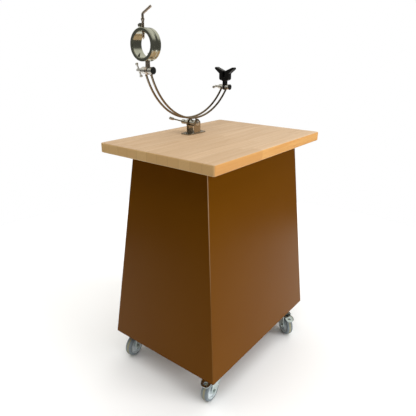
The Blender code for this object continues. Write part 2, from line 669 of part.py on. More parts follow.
def clamp_screw(ring_axis):
    """The bone screw: a turning shank, a swivelling point and a bent handle."""
    travel = pivot("clamp_screw_travel", (SCREW_PLACE, 0, 0), parent=ring_axis)
    point_top = 0.0194
    cone = [(0, point_top - FIT), (0.0034, point_top - FIT), (0, 0.0134)]
    turned("screw_point", cone, STAINLESS, parent=travel, steps=16)
    turn = pivot("clamp_screw_axis", (0, 0, 0), parent=travel)
    collar_low = 0.061
    shank = rod_profile(SCREW_RADIUS, point_top, collar_low - FIT)
    turned("clamp_screw", shank, STAINLESS, parent=turn, steps=20)
    collar = [
        (0, collar_low + 0.009), (0.0036, collar_low + 0.009), (0.005, collar_low + 0.0055),
        (0.005, collar_low + 0.003), (0.004, collar_low), (0, collar_low),
    ]
    across = Vector((math.cos(HANDLE_YAW), math.sin(HANDLE_YAW), 0))
    up = Vector((0, 0, 1))
    bend = Vector((0, 0, collar_low + 0.0156))
    points = [Vector((0, 0, collar_low + 0.005))]
    for k in range(5):
        angle = HANDLE_BEND * k / 4
        points.append(bend + across * 0.006 * (1 - math.cos(angle)) + up * 0.006 * math.sin(angle))
    points.append(points[-1] + (across * math.sin(HANDLE_BEND) + up * math.cos(HANDLE_BEND)) * HANDLE_ARM)
    handle = bar("bent_handle", points, 0.0035, STAINLESS, parent=turn)
    boolean(handle, turned("collar", collar, STAINLESS, parent=turn, steps=20), "UNION")


def v_rest(tilt):
    at = (REST_CLAMP[0], 0, REST_CLAMP[1] - HUB_Z)
    clamp("rest", REST_TUBE, 85, pivot("rest_clamp_axis", at, parent=tilt))
    rest_tilt = pivot("rest_tilt_axis", at, parent=tilt)
    right = [
        (0.0045, 0.006, 0), (0.0045, 0.0205, 0.003), (0.020, 0.0250, 0.007), (0.020, 0.0457, 0.003),
        (0.040, 0.0613, 0.0039), (0.040, 0.0694, 0.0039),
    ]
    outline = right + [(0, 0.053, 0.002)] + [(-y, z, radius) for y, z, radius in reversed(right)]
    rest = plate("v_rest", outline, REST_WIDTH, BLACK_PLASTIC, rotation=FLAT_TO_YZ, parent=rest_tilt)
    eye = REST_TUBE + 0.0020
    disc = rod_profile(eye, -0.0045, 0.0045)
    boolean(rest, turned("eye", disc, BLACK_PLASTIC, rotation=TO_Y, parent=rest_tilt, steps=32), "UNION")
    bore = rod_profile(REST_TUBE + FIT, -0.02, 0.02)
    boolean(rest, turned("eye_bore", bore, BLACK_PLASTIC, rotation=TO_Y, parent=rest_tilt), "DIFFERENCE")
    groove = [(-0.0047, 0.080, 0), (0.0047, 0.080, 0), (0.0047, 0.0335, 0.0045), (-0.0047, 0.0335, 0.0045)]
    groove = plate("groove", groove, 0.02, BLACK_PLASTIC, (-0.010, 0, 0), FLAT_TO_YZ, rest_tilt)
    boolean(rest, groove, "DIFFERENCE")
    eye_screw("rest_set_screw", rest, REST_TUBE, eye, 0.0028, rest_tilt)


def build():
    board()
    body_shell()
    base_plate()
    rear_door()
    castors()
    base_bracket()
    tilt = pivot("holder_tilt_axis", (0, HOLDER_Y, BOARD_TOP + HUB_Z))
    hub_and_bolt(tilt)
    clamp_lever(tilt)
    rod("front_rod", -1, tilt)
    rod("rear_rod", 1, tilt)
    hoof_ring(tilt)
    v_rest(tilt)


build()
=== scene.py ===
"""Looks for the ham-carving trolley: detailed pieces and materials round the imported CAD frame."""

import math

import bmesh
import bpy
from mathutils import Matrix, Vector


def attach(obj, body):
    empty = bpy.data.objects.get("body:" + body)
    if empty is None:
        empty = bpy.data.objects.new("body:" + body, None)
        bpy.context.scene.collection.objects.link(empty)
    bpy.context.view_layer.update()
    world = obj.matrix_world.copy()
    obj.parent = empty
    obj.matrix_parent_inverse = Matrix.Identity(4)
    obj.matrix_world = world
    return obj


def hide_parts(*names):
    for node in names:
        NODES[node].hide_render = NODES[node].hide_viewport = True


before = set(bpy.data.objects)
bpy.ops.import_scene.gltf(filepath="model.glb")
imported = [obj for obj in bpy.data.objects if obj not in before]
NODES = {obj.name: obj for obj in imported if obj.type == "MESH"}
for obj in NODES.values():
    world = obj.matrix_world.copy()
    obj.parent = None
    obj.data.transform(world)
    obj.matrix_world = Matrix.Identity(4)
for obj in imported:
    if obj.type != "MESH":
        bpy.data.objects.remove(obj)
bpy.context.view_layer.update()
SCENE = bpy.context.scene
SCENE.view_settings.view_transform = "Standard"

# Sizes that repeat the CAD part's, in metres
TOP = 0.787
SKIRT = 0.100
LOW_HALF = (0.2975, 0.2175)
HIGH_HALF = (0.25725, 0.1445)
TOP_SHIFT = 0.0136
WALL_TOP = TOP - 0.030 - 0.0003
SHEET = 0.0015
HOLDER_Y = 0.103
HUB = Vector((0, HOLDER_Y, TOP + 0.0342))
RING_CLAMP = Vector((-0.2070, HOLDER_Y, TOP + 0.2088))
REST_CLAMP = Vector((0.1785, HOLDER_Y, TOP + 0.1425))
RING = Vector((-0.2300, HOLDER_Y, TOP + 0.2780))  # centre of the front face
SCREW_X = RING.x + 0.0100
ARC_CENTRE = Vector((0, HOLDER_Y, TOP + 0.2704))
ARC_RADIUS = 0.2172
CASTORS = {
    "castor_front_left": (-0.225, -0.176, 184, True),
    "castor_rear_left": (-0.225, 0.176, 188, False),
    "castor_front_right": (0.216, -0.176, 238, True),
    "castor_rear_right": (0.216, 0.176, 115.5, False),
}


# ---------------------------------------------------------------- materials
class Net:
    """A material's node tree, with short ways to add and join nodes."""

    def __init__(self, name, colour, roughness, metallic=0.0, **fixed):
        self.material = bpy.data.materials.new(name)
        self.material.use_nodes = True
        self.tree = self.material.node_tree
        self.shader = self.tree.nodes["Principled BSDF"]
        self.shader.inputs["Base Color"].default_value = (*colour, 1)
        self.shader.inputs["Roughness"].default_value = roughness
        self.shader.inputs["Metallic"].default_value = metallic
        for key, value in fixed.items():
            self.shader.inputs[key.replace("_", " ")].default_value = value

    def add(self, kind, **values):
        node = self.tree.nodes.new("ShaderNode" + kind)
        for key, value in values.items():
            setattr(node, key, value)
        return node

    def join(self, source, target):
        self.tree.links.new(source, target)

    def give(self, socket, value):
        if isinstance(value, bpy.types.NodeSocket):
            self.join(value, socket)
        else:
            socket.default_value = value

    def math(self, operation, *values, clamp=False):
        node = self.add("Math", operation=operation, use_clamp=clamp)
        for socket, value in zip(node.inputs, values):
            self.give(socket, value)
        return node.outputs[0]

    def place(self):
        return self.add("TexCoord").outputs["Object"]

    def split(self, vector):
        node = self.add("SeparateXYZ")
        self.join(vector, node.inputs[0])
        return node.outputs

    def stretch(self, vector, scale, offset=None):
        node = self.add("Mapping")
        self.join(vector, node.inputs["Vector"])
        node.inputs["Scale"].default_value = scale
        if offset is not None:
            self.give(node.inputs["Location"], offset)
        return node.outputs[0]

    def noise(self, vector, scale, detail=3.0, rough=0.5, distortion=0.0):
        node = self.add("TexNoise")
        self.join(vector, node.inputs["Vector"])
        node.inputs["Scale"].default_value = scale
        node.inputs["Detail"].default_value = detail
        node.inputs["Roughness"].default_value = rough
        node.inputs["Distortion"].default_value = distortion
        return node.outputs[0]

    def ramp(self, value, low, high, to_low=0.0, to_high=1.0):
        node = self.add("MapRange")
        self.give(node.inputs["Value"], value)
        node.inputs["From Min"].default_value = low
        node.inputs["From Max"].default_value = high
        node.inputs["To Min"].default_value = to_low
        node.inputs["To Max"].default_value = to_high
        return node.outputs[0]

    def mix(self, share, one, two, blend="MIX"):
        node = self.add("Mix", data_type="RGBA", blend_type=blend)
        self.give(node.inputs[0], share)
        for socket, value in ((node.inputs[6], one), (node.inputs[7], two)):
            if isinstance(value, tuple):
                value = (*value, 1)
            self.give(socket, value)
        return node.outputs[2]

    def bump(self, height, distance, strength=1.0):
        node = self.add("Bump")
        self.join(height, node.inputs["Height"])
        node.inputs["Distance"].default_value = distance
        node.inputs["Strength"].default_value = strength
        self.join(node.outputs[0], self.shader.inputs["Normal"])

    def colour(self, value):
        self.join(value, self.shader.inputs["Base Color"])

    def rough(self, value):
        self.join(value, self.shader.inputs["Roughness"])


def beech():
    """Glued beech staves along X in short lengths, with long grain, ray flecks and end grain."""
    net = Net("beech_board", (0.60, 0.38, 0.20), 0.42, Specular_IOR_Level=0.22)
    at = net.place()
    x, y, z = net.split(at)
    lane = net.math("DIVIDE", net.math("ADD", y, 0.2160), 0.0393)
    stave = net.math("FLOOR", lane)
    inside = net.math("FRACT", lane)
    shift = net.add("TexWhiteNoise", noise_dimensions="1D")
    net.join(stave, shift.inputs["W"])
    length = net.math("ADD", net.math("MULTIPLY", x, 3.1), net.math("MULTIPLY", shift.outputs[0], 9.0))
    part = net.math("FLOOR", length)
    along = net.math("FRACT", length)
    key = net.add("CombineXYZ")
    net.join(stave, key.inputs[0])
    net.join(part, key.inputs[1])
    tone = net.add("TexWhiteNoise", noise_dimensions="2D")
    net.join(key.outputs[0], tone.inputs["Vector"])
    drift = net.add("CombineXYZ")
    net.join(net.math("MULTIPLY", tone.outputs[0], 7.0), drift.inputs[0])
    net.join(net.math("MULTIPLY", stave, 1.37), drift.inputs[2])
    moved = net.add("VectorMath", operation="ADD")
    net.join(at, moved.inputs[0])
    net.join(drift.outputs[0], moved.inputs[1])
    grain = net.noise(net.stretch(moved.outputs[0], (1.6, 42, 42)), 2.2, 4.0, 0.55, 0.25)
    figure = net.noise(net.stretch(moved.outputs[0], (3.0, 16, 16)), 1.0, 2.0, 0.5, 0.8)
    fleck = net.noise(net.stretch(moved.outputs[0], (95, 900, 900)), 1.0, 1.0, 0.4)
    base = net.mix(net.ramp(grain, 0.35, 0.68), (0.595, 0.425, 0.268), (0.52, 0.352, 0.212))
    base = net.mix(net.ramp(figure, 0.50, 0.80, 0.0, 0.40), base, (0.41, 0.255, 0.135))
    shade = net.ramp(tone.outputs[0], 0, 1, 0.0, 0.50)
    base = net.mix(shade, base, (0.435, 0.288, 0.165))
    base = net.mix(net.ramp(fleck, 0.60, 0.70, 0.0, 0.32), base, (0.34, 0.20, 0.10))
    seam = net.math("MINIMUM", inside, net.math("SUBTRACT", 1.0, inside))
    butt = net.math("MULTIPLY", net.math("MINIMUM", along, net.math("SUBTRACT", 1.0, along)), 8.2)
    joint = net.ramp(net.math("MINIMUM", seam, butt), 0.0, 0.018, 0.55, 0.0)
    base = net.mix(joint, base, (0.33, 0.19, 0.10))
    # The oiled edges are richer in colour than the scrubbed top; the short ends show end grain
    facing = net.split(net.add("NewGeometry").outputs["Normal"])
    sides = net.ramp(net.math("ABSOLUTE", facing[1]), 0.55, 0.85)
    oiled = net.mix(net.ramp(grain, 0.35, 0.68), (0.70, 0.385, 0.135), (0.62, 0.305, 0.095))
    oiled = net.mix(shade, oiled, (0.54, 0.262, 0.085))
    base = net.mix(sides, base, oiled)
    ends = net.ramp(net.math("ABSOLUTE", facing[0]), 0.55, 0.80)
    rings = net.add("TexWave", wave_type="RINGS", rings_direction="X")
    net.join(net.stretch(moved.outputs[0], (0, 1, 1)), rings.inputs["Vector"])
    rings.inputs["Scale"].default_value = 95
    rings.inputs["Distortion"].default_value = 1.5
    rings.inputs["Detail"].default_value = 2
    end = net.mix(net.ramp(rings.outputs[1], 0.2, 0.9), (0.74, 0.50, 0.235), (0.62, 0.395, 0.17))
    end = net.mix(shade, end, (0.56, 0.32, 0.125))
    end = net.mix(net.ramp(seam, 0.0, 0.018, 0.6, 0.0), end, (0.34, 0.18, 0.07))
    net.colour(net.mix(ends, base, end))
    net.rough(net.ramp(grain, 0.3, 0.7, 0.36, 0.50))
    height = net.math("ADD", net.math("MULTIPLY", fleck, 0.35), grain)
    height = net.math("SUBTRACT", height, joint)
    net.bump(height, 0.00025, 0.35)
    return net.material


def brown_coat(name="brown_coat_shell"):
    """Satin brown powder coat: fine orange peel, faint clouding, and a painted highlight that makes the bends pale
    towards the top.
    """
    net = Net(name, (0.13, 0.045, 0.002), 0.30, Specular_IOR_Level=0.075, Specular_Tint=(1.0, 0.58, 0.22, 1))
    at = net.place()
    x, y, z = net.split(at)
    cloud = net.noise(at, 5.0, 3.0, 0.55)
    base = net.mix(net.ramp(cloud, 0.10, 0.90), (0.114, 0.0380, 0.0007), (0.124, 0.0430, 0.0011))
    # painted highlight: the folded corners are painted pale towards the top, where the bends catch the light
    nx, ny, nz = net.split(net.add("NewGeometry").outputs["Normal"])
    bend = net.ramp(net.math("MINIMUM", net.math("ABSOLUTE", nx), net.math("ABSOLUTE", ny)), 0.30, 0.62)
    bend = net.math("MULTIPLY", bend, net.ramp(z, 0.36, 0.70, 0.10, 0.75))
    base = net.mix(bend, base, (0.46, 0.31, 0.19))
    low = net.ramp(z, SKIRT, SKIRT + 0.0035, 0.45, 0.0)
    base = net.mix(low, base, (0.060, 0.018, 0.002))
    net.colour(base)
    net.rough(net.ramp(cloud, 0.1, 0.9, 0.28, 0.32))
    peel = net.noise(at, 700, 2.0, 0.5)
    net.bump(peel, 0.00006, 0.30)
    return net.material


def stainless(name, roughness=0.20, tint=(0.55, 0.535, 0.475), brushed=(260, 260, 260), strength=0.06, smears=0.07):
    """Stainless with fine turning or drawing marks and a few dull smears."""
    net = Net(name, tint, roughness, 1.0)
    at = net.place()
    lines = net.noise(net.stretch(at, brushed), 1.0, 3.0, 0.6)
    smear = net.noise(at, 38, 3.0, 0.6, 0.4)
    dull = net.ramp(smear, 0.45, 0.75, 0.0, smears)
    net.rough(net.math("ADD", net.ramp(lines, 0.3, 0.7, roughness - 0.03, roughness + 0.03), dull))
    light = tuple(min(1.0, c * 1.04) for c in tint)
    dark = tuple(c * 0.90 for c in tint)
    net.colour(net.mix(net.ramp(smear, 0.3, 0.7), light, dark))
    net.bump(lines, 0.00002, strength)
    return net.material


def zinc():
    """Bright zinc plate with a bluish cast, slight spangle and dull handling marks."""
    net = Net("zinc_plate", (0.58, 0.64, 0.66), 0.28, 1.0)
    at = net.place()
    spangle = net.add("TexVoronoi", feature="F1")
    net.join(net.stretch(at, (1, 1, 1)), spangle.inputs["Vector"])
    spangle.inputs["Scale"].default_value = 520
    cells = net.split(spangle.outputs["Color"])[0]
    smear = net.noise(at, 60, 3.0, 0.6, 0.5)
    base = net.mix(net.ramp(cells, 0, 1, 0.0, 0.35), (0.66, 0.75, 0.735), (0.53, 0.62, 0.62))
    base = net.mix(net.ramp(smear, 0.5, 0.78, 0.0, 0.55), base, (0.38, 0.42, 0.41))
    net.colour(base)
    net.rough(net.ramp(smear, 0.3, 0.75, 0.18, 0.40))
    net.bump(smear, 0.00006, 0.25)
    return net.material


def rim_plastic():
    net = Net("rim_nylon", (0.48, 0.53, 0.55), 0.42)
    at = net.place()
    grime = net.noise(at, 120, 4.0, 0.6)
    around = net.math("SQRT", net.math("ADD", *[net.math("POWER", v, 2.0) for v in net.split(at)[:2]]))
    dirt = net.math("MULTIPLY", net.ramp(around, 0.016, 0.027, 0.15, 0.65), net.ramp(grime, 0.42, 0.7))
    net.colour(net.mix(dirt, (0.54, 0.60, 0.62), (0.24, 0.25, 0.24)))
    net.rough(net.ramp(grime, 0.3, 0.7, 0.36, 0.55))
    net.bump(grime, 0.00005, 0.3)
    return net.material


def tyre_rubber():
    """Grey rubber with a beige worn tread band round the middle."""
    net = Net("tyre_grey_rubber", (0.15, 0.18, 0.20), 0.62)
    at = net.place()
    x, y, z = net.split(at)
    wobble = net.noise(at, 90, 3.0, 0.6)
    from_mid = net.math("ADD", net.math("ABSOLUTE", z), net.ramp(wobble, 0.3, 0.7, -0.0006, 0.0006))
    band = net.ramp(from_mid, 0.0034, 0.0043, 1.0, 0.0)
    around = net.math("SQRT", net.math("ADD", net.math("POWER", x, 2.0), net.math("POWER", y, 2.0)))
    band = net.math("MULTIPLY", band, net.ramp(around, 0.0355, 0.0365))
    grime = net.noise(at, 260, 4.0, 0.65)
    grey = net.mix(net.ramp(grime, 0.35, 0.7), (0.135, 0.165, 0.185), (0.215, 0.245, 0.255))
    tan = net.mix(net.ramp(grime, 0.35, 0.7), (0.30, 0.285, 0.185), (0.235, 0.225, 0.155))
    net.colour(net.mix(band, grey, tan))
    net.rough(net.ramp(grime, 0.3, 0.7, 0.52, 0.78))
    net.bump(grime, 0.00015, 0.4)
    return net.material


def black_plastic(name="black_moulding", tone=0.010):
    """Black moulded nylon with a fine leather-like mould texture."""
    net = Net(name, (tone, tone, tone * 1.05), 0.38, Specular_IOR_Level=0.26)
    at = net.place()
    grain = net.noise(at, 900, 2.0, 0.5)
    wear = net.noise(at, 55, 4.0, 0.6)
    net.colour(net.mix(net.ramp(wear, 0.45, 0.8, 0.0, 0.6), (tone,) * 3, (tone * 2.0,) * 3))
    net.rough(net.ramp(wear, 0.3, 0.75, 0.30, 0.50))
    net.bump(grain, 0.00008, 0.45)
    return net.material


def black_steel():
    net = Net("blackened_steel", (0.045, 0.047, 0.047), 0.33, 0.85)
    at = net.place()
    wear = net.noise(at, 300, 3.0, 0.6)
    net.colour(net.mix(net.ramp(wear, 0.5, 0.8, 0.0, 0.7), (0.04, 0.042, 0.042), (0.20, 0.20, 0.19)))
    net.rough(net.ramp(wear, 0.3, 0.7, 0.26, 0.42))
    return net.material


BEECH = beech()
COAT = brown_coat()
STEEL = stainless("stainless_polished")
TURNED = stainless("stainless_turned", 0.16, (0.50, 0.51, 0.42), (30, 30, 2600), 0.07, 0.03)
SATIN = stainless("stainless_satin", 0.36, (0.74, 0.72, 0.67), (40, 40, 1800), 0.05, 0.05)
# painted shade: the rods' stainless is tinted dark brown to stand in for the dim room it reflects
SHADED_ROD = stainless("stainless_rod_painted_shade", 0.30, (0.30, 0.24, 0.165), (60, 60, 60), 0.0, 0.04)
FORGED = stainless("stainless_forged", 0.32, (0.62, 0.53, 0.44), (700, 700, 700), 0.05, 0.06)
PRESSED = stainless("stainless_pressed", 0.24, (0.42, 0.36, 0.275), (500, 500, 500), 0.04, 0.06)
ZINC = zinc()
RIM = rim_plastic()
TYRE = tyre_rubber()
BLACK = black_plastic(tone=0.0050)
DARK = black_steel()


# ---------------------------------------------------------------- mesh helpers
def matrix(origin=(0, 0, 0), z=(0, 0, 1), x=(1, 0, 0)):
    """A frame with its Z along z and its X as near x as can be."""
    up = Vector(z).normalized()
    side = (Vector(x) - up * Vector(x).dot(up)).normalized()
    made = Matrix((side, up.cross(side), up)).transposed().to_4x4()
    made.translation = Vector(origin)
    return made


def held(profile):
    """Adds a point close to each end of the long straight runs, so that their shading stays flat."""
    line = [profile[0]]
    for one, two in zip(profile, profile[1:]):
        length = math.dist(one, two)
        if length > 0.0020:
            for near, centre in ((0.00025, one), (length - 0.00025, two)):
                if centre[0] > 1e-7:
                    share = near / length
                    line.append((one[0] + (two[0] - one[0]) * share, one[1] + (two[1] - one[1]) * share))
        line.append(two)
    return line


def lathe(profile, steps=64, bored=False):
    """A turned body about Z. The profile lists (radius, height)."""
    bm = bmesh.new()
    rings = []
    for radius, height in held(profile):
        count = 1 if radius < 1e-7 else steps
        turn = [2 * math.pi * k / steps for k in range(count)]
        rings.append([bm.verts.new((radius * math.cos(a), radius * math.sin(a), height)) for a in turn])
    pairs = list(zip(rings, rings[1:]))
    if bored:
        pairs.append((rings[-1], rings[0]))
    for one, two in pairs:
        for k in range(steps):
            corners = [one[k % len(one)], one[(k + 1) % len(one)], two[(k + 1) % len(two)], two[k % len(two)]]
            corners = list(dict.fromkeys(corners))
            if len(corners) > 2:
                bm.faces.new(corners)
    bmesh.ops.recalc_face_normals(bm, faces=bm.faces)
    return bm


def smooth_profile(points, size):
    """The profile with each inner corner cut by a small round of the given size."""
    done = [points[0]]
    for before, here, after in zip(points, points[1:], points[2:]):
        here, before, after = Vector(here), Vector(before), Vector(after)
        one = min(size, (before - here).length * 0.45)
        two = min(size, (after - here).length * 0.45)
        start = here + (before - here).normalized() * one
        end = here + (after - here).normalized() * two
        for t in (0.0, 0.33, 0.67, 1.0):
            done.append(tuple(start * (1 - t) ** 2 + here * 2 * t * (1 - t) + end * t * t))
    done.append(points[-1])
    return done


def rounded(corners, fine=9):
    """Points of a closed outline whose corners (x, y, radius) are arcs."""
    points = []
    for i, (x, y, radius) in enumerate(corners):
        here = Vector((x, y))
        before = (Vector(corners[i - 1][:2]) - here).normalized()
        after = (Vector(corners[(i + 1) % len(corners)][:2]) - here).normalized()
        if not radius:
            points.append(here)
            continue
        half = before.angle(after) / 2
        centre = here + (before + after).normalized() * radius / math.sin(half)
        start = here + before * radius / math.tan(half) - centre
        turn = start.angle_signed(here + after * radius / math.tan(half) - centre)
        steps = max(3, round(abs(turn) / math.radians(fine)))
        for k in range(steps + 1):
            a = -turn * k / steps
            spun = (start.x * math.cos(a) - start.y * math.sin(a), start.x * math.sin(a) + start.y * math.cos(a))
            points.append(centre + Vector(spun))
    return points


def slab(points, thickness, edge=0.0004, segments=2):
    """A plate of the outline, centred on its own XY plane, with softened rims."""
    bm = bmesh.new()
    low = [bm.verts.new((p[0], p[1], -thickness / 2)) for p in points]
    high = [bm.verts.new((p[0], p[1], thickness / 2)) for p in points]
    caps = [bm.faces.new(low[::-1]), bm.faces.new(high)]
    for k in range(len(points)):
        n = (k + 1) % len(points)
        bm.faces.new((low[k], low[n], high[n], high[k]))
    bmesh.ops.recalc_face_normals(bm, faces=bm.faces)
    if edge:
        rims = list({e for cap in caps for e in cap.edges})
        bmesh.ops.bevel(bm, geom=rims, offset=edge, segments=segments, affect="EDGES", profile=0.5)
    return bm


def block(size, centre=(0, 0, 0), edge=0.0, segments=2):
    bm = bmesh.new()
    bmesh.ops.create_cube(bm, size=1)
    bmesh.ops.scale(bm, vec=size, verts=bm.verts)
    bmesh.ops.translate(bm, vec=centre, verts=bm.verts)
    if edge:
        bmesh.ops.bevel(bm, geom=bm.edges[:], offset=edge, segments=segments, affect="EDGES", profile=0.5)
    return bm


def sweep(points, radius, sides=24, dome=0.35):
    """A round bar along the points, with softly domed ends. radius may be a list, one for each point."""
    points = [Vector(p) for p in points]
    radii = radius if isinstance(radius, list) else [radius] * len(points)
    first = (points[1] - points[0]).normalized()
    last = (points[-1] - points[-2]).normalized()
    chain = [(points[0] - first * radii[0] * dome, radii[0] * 0.45), (points[0] - first * radii[0] * dome * 0.6, radii[0] * 0.80)]
    chain += list(zip(points, radii))
    chain += [(points[-1] + last * radii[-1] * dome * 0.6, radii[-1] * 0.80), (points[-1] + last * radii[-1] * dome, radii[-1] * 0.45)]
    bm = bmesh.new()
    side = first.orthogonal().normalized()
    rings = []
    for k, (centre, r) in enumerate(chain):
        ahead = chain[min(k + 1, len(chain) - 1)][0] - chain[max(k - 1, 0)][0]
        along = ahead.normalized()
        side = (side - along * side.dot(along)).normalized()
        other = along.cross(side)
        ring = []
        for s in range(sides):
            a = 2 * math.pi * s / sides
            ring.append(bm.verts.new(centre + (side * math.cos(a) + other * math.sin(a)) * r))
        rings.append(ring)
    for one, two in zip(rings, rings[1:]):
        for s in range(sides):
            n = (s + 1) % sides
            bm.faces.new((one[s], one[n], two[n], two[s]))
    bm.faces.new(rings[0][::-1])
    bm.faces.new(rings[-1])
    bmesh.ops.recalc_face_normals(bm, faces=bm.faces)
    return bm


def moved(bm, frame_at):
    bmesh.ops.transform(bm, matrix=frame_at, verts=bm.verts)
    return bm


def merged(*parts):
    """Several closed bodies in one mesh."""
    mesh = bpy.data.meshes.new("merged")
    whole = bmesh.new()
    for part in parts:
        part.to_mesh(mesh)
        whole.from_mesh(mesh)
        part.free()
    bpy.data.meshes.remove(mesh)
    return whole


def carved(bm, *steps):
    """The body after Boolean steps, each an operation and another body."""
    made = []
    for part in (bm, *[other for _, other in steps]):
        mesh = bpy.data.meshes.new("carve")
        part.to_mesh(mesh)
        part.free()
        obj = bpy.data.objects.new("carve", mesh)
        SCENE.collection.objects.link(obj)
        made.append(obj)
    for (operation, _), other in zip(steps, made[1:]):
        step = made[0].modifiers.new(operation, "BOOLEAN")
        step.operation = operation
        step.solver = "EXACT"
        step.object = other
    graph = bpy.context.evaluated_depsgraph_get()
    graph.update()
    result = bmesh.new()
    mesh = bpy.data.meshes.new_from_object(made[0].evaluated_get(graph))
    result.from_mesh(mesh)
    for obj in made:
        data = obj.data
        bpy.data.objects.remove(obj)
        bpy.data.meshes.remove(data)
    bpy.data.meshes.remove(mesh)
    bmesh.ops.remove_doubles(result, verts=result.verts, dist=2e-6)
    return result


def piece(name, bm, material, body, replaces=(), at=None, sharp=32, soften=0.0, segments=2):
    """Makes the body a finished piece that rides with a CAD body."""
    mesh = bpy.data.meshes.new(name)
    bm.to_mesh(mesh)
    bm.free()
    mesh.materials.append(material)
    obj = bpy.data.objects.new(name, mesh)
    SCENE.collection.objects.link(obj)
    if at is not None:
        obj.matrix_world = at
    mesh.shade_smooth()
    if soften:
        bevel = obj.modifiers.new("soft_edges", "BEVEL")
        bevel.width = soften
        bevel.segments = segments
        bevel.limit_method = "ANGLE"
        bevel.angle_limit = math.radians(40)
        bevel.harden_normals = False
    mesh.set_sharp_from_angle(angle=math.radians(sharp))
    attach(obj, body)
    if replaces:
        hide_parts(*([replaces] if isinstance(replaces, str) else replaces))
    return obj


def hex_profile(across, height, steps=6):
    points = [(across / math.sqrt(3) * math.cos(math.radians(60 * k)), across / math.sqrt(3) * math.sin(math.radians(60 * k))) for k in range(6)]
    return moved(slab(points, height, 0.0003, 1), Matrix.Translation((0, 0, height / 2)))


# ---------------------------------------------------------------- cabinet
def half_at(z):
    share = (z - SKIRT) / (TOP - 0.030 - SKIRT)
    return [low + (high - low) * share for low, high in zip(LOW_HALF, HIGH_HALF)]


def board():
    points = rounded([(sx * 0.308, sy * 0.216, 0.0065) for sx, sy in ((-1, -1), (1, -1), (1, 1), (-1, 1))], 8)
    bm = slab(points, 0.030, 0.0032, 4)
    moved(bm, Matrix.Translation((0, 0, TOP - 0.015)))
    piece("beech_board", bm, BEECH, "trolley", "board", sharp=60)


def wall_ring(bm, z, inset, radius):
    half_x, half_y = half_at(z)
    half_x, half_y = half_x - inset, half_y - inset
    points = rounded([(-half_x, -half_y, radius), (half_x, -half_y, radius), (half_x, half_y, radius), (-half_x, half_y, radius)], 13)
    middle = TOP_SHIFT * (z - SKIRT) / (TOP - 0.030 - SKIRT)
    return [bm.verts.new((p.x + middle, p.y, z)) for p in points]


def shell():
    """The folded cabinet: outer skin, rolled lower hem, inner skin and the flange under the board."""
    bm = bmesh.new()
    steps = [(SKIRT + 0.0008, 0.0, 0.0040)]
    for k in range(1, 9):
        steps.append((SKIRT + 0.0008 + (WALL_TOP - 0.0008 - SKIRT - 0.0008) * k / 8, 0.0, 0.0040))
    steps.append((WALL_TOP, 0.0009, 0.0034))
    steps.append((WALL_TOP, 0.0200, 0.0010))
    steps.append((WALL_TOP - SHEET, 0.0200, 0.0010))
    steps.append((WALL_TOP - SHEET, SHEET, 0.0026))
    for k in range(7, 0, -1):
        steps.append((SKIRT + 0.0008 + (WALL_TOP - SKIRT) * k / 8, SHEET, 0.0026))
    steps.append((SKIRT + 0.0002, SHEET - 0.0003, 0.0028))
    steps.append((SKIRT, 0.0007, 0.0034))
    rings = [wall_ring(bm, *step) for step in steps]
    for one, two in zip(rings, rings[1:] + rings[:1]):
        for k in range(len(one)):
            n = (k + 1) % len(one)
            bm.faces.new((one[k], one[n], two[n], two[k]))
    bmesh.ops.recalc_face_normals(bm, faces=bm.faces)
    opening = moved(block((0.403, 0.04, 0.523), (0, 0, 0.062 + 0.260)), WALL)
    bm = carved(bm, ("DIFFERENCE", opening))
    piece("cabinet_shell", bm, COAT, "trolley", "body_shell", sharp=25)


LEAN = math.atan2(LOW_HALF[1] - HIGH_HALF[1], TOP - 0.030 - SKIRT)
WALL = Matrix.Translation((0, LOW_HALF[1], SKIRT)) @ Matrix.Rotation(LEAN, 4, "X")


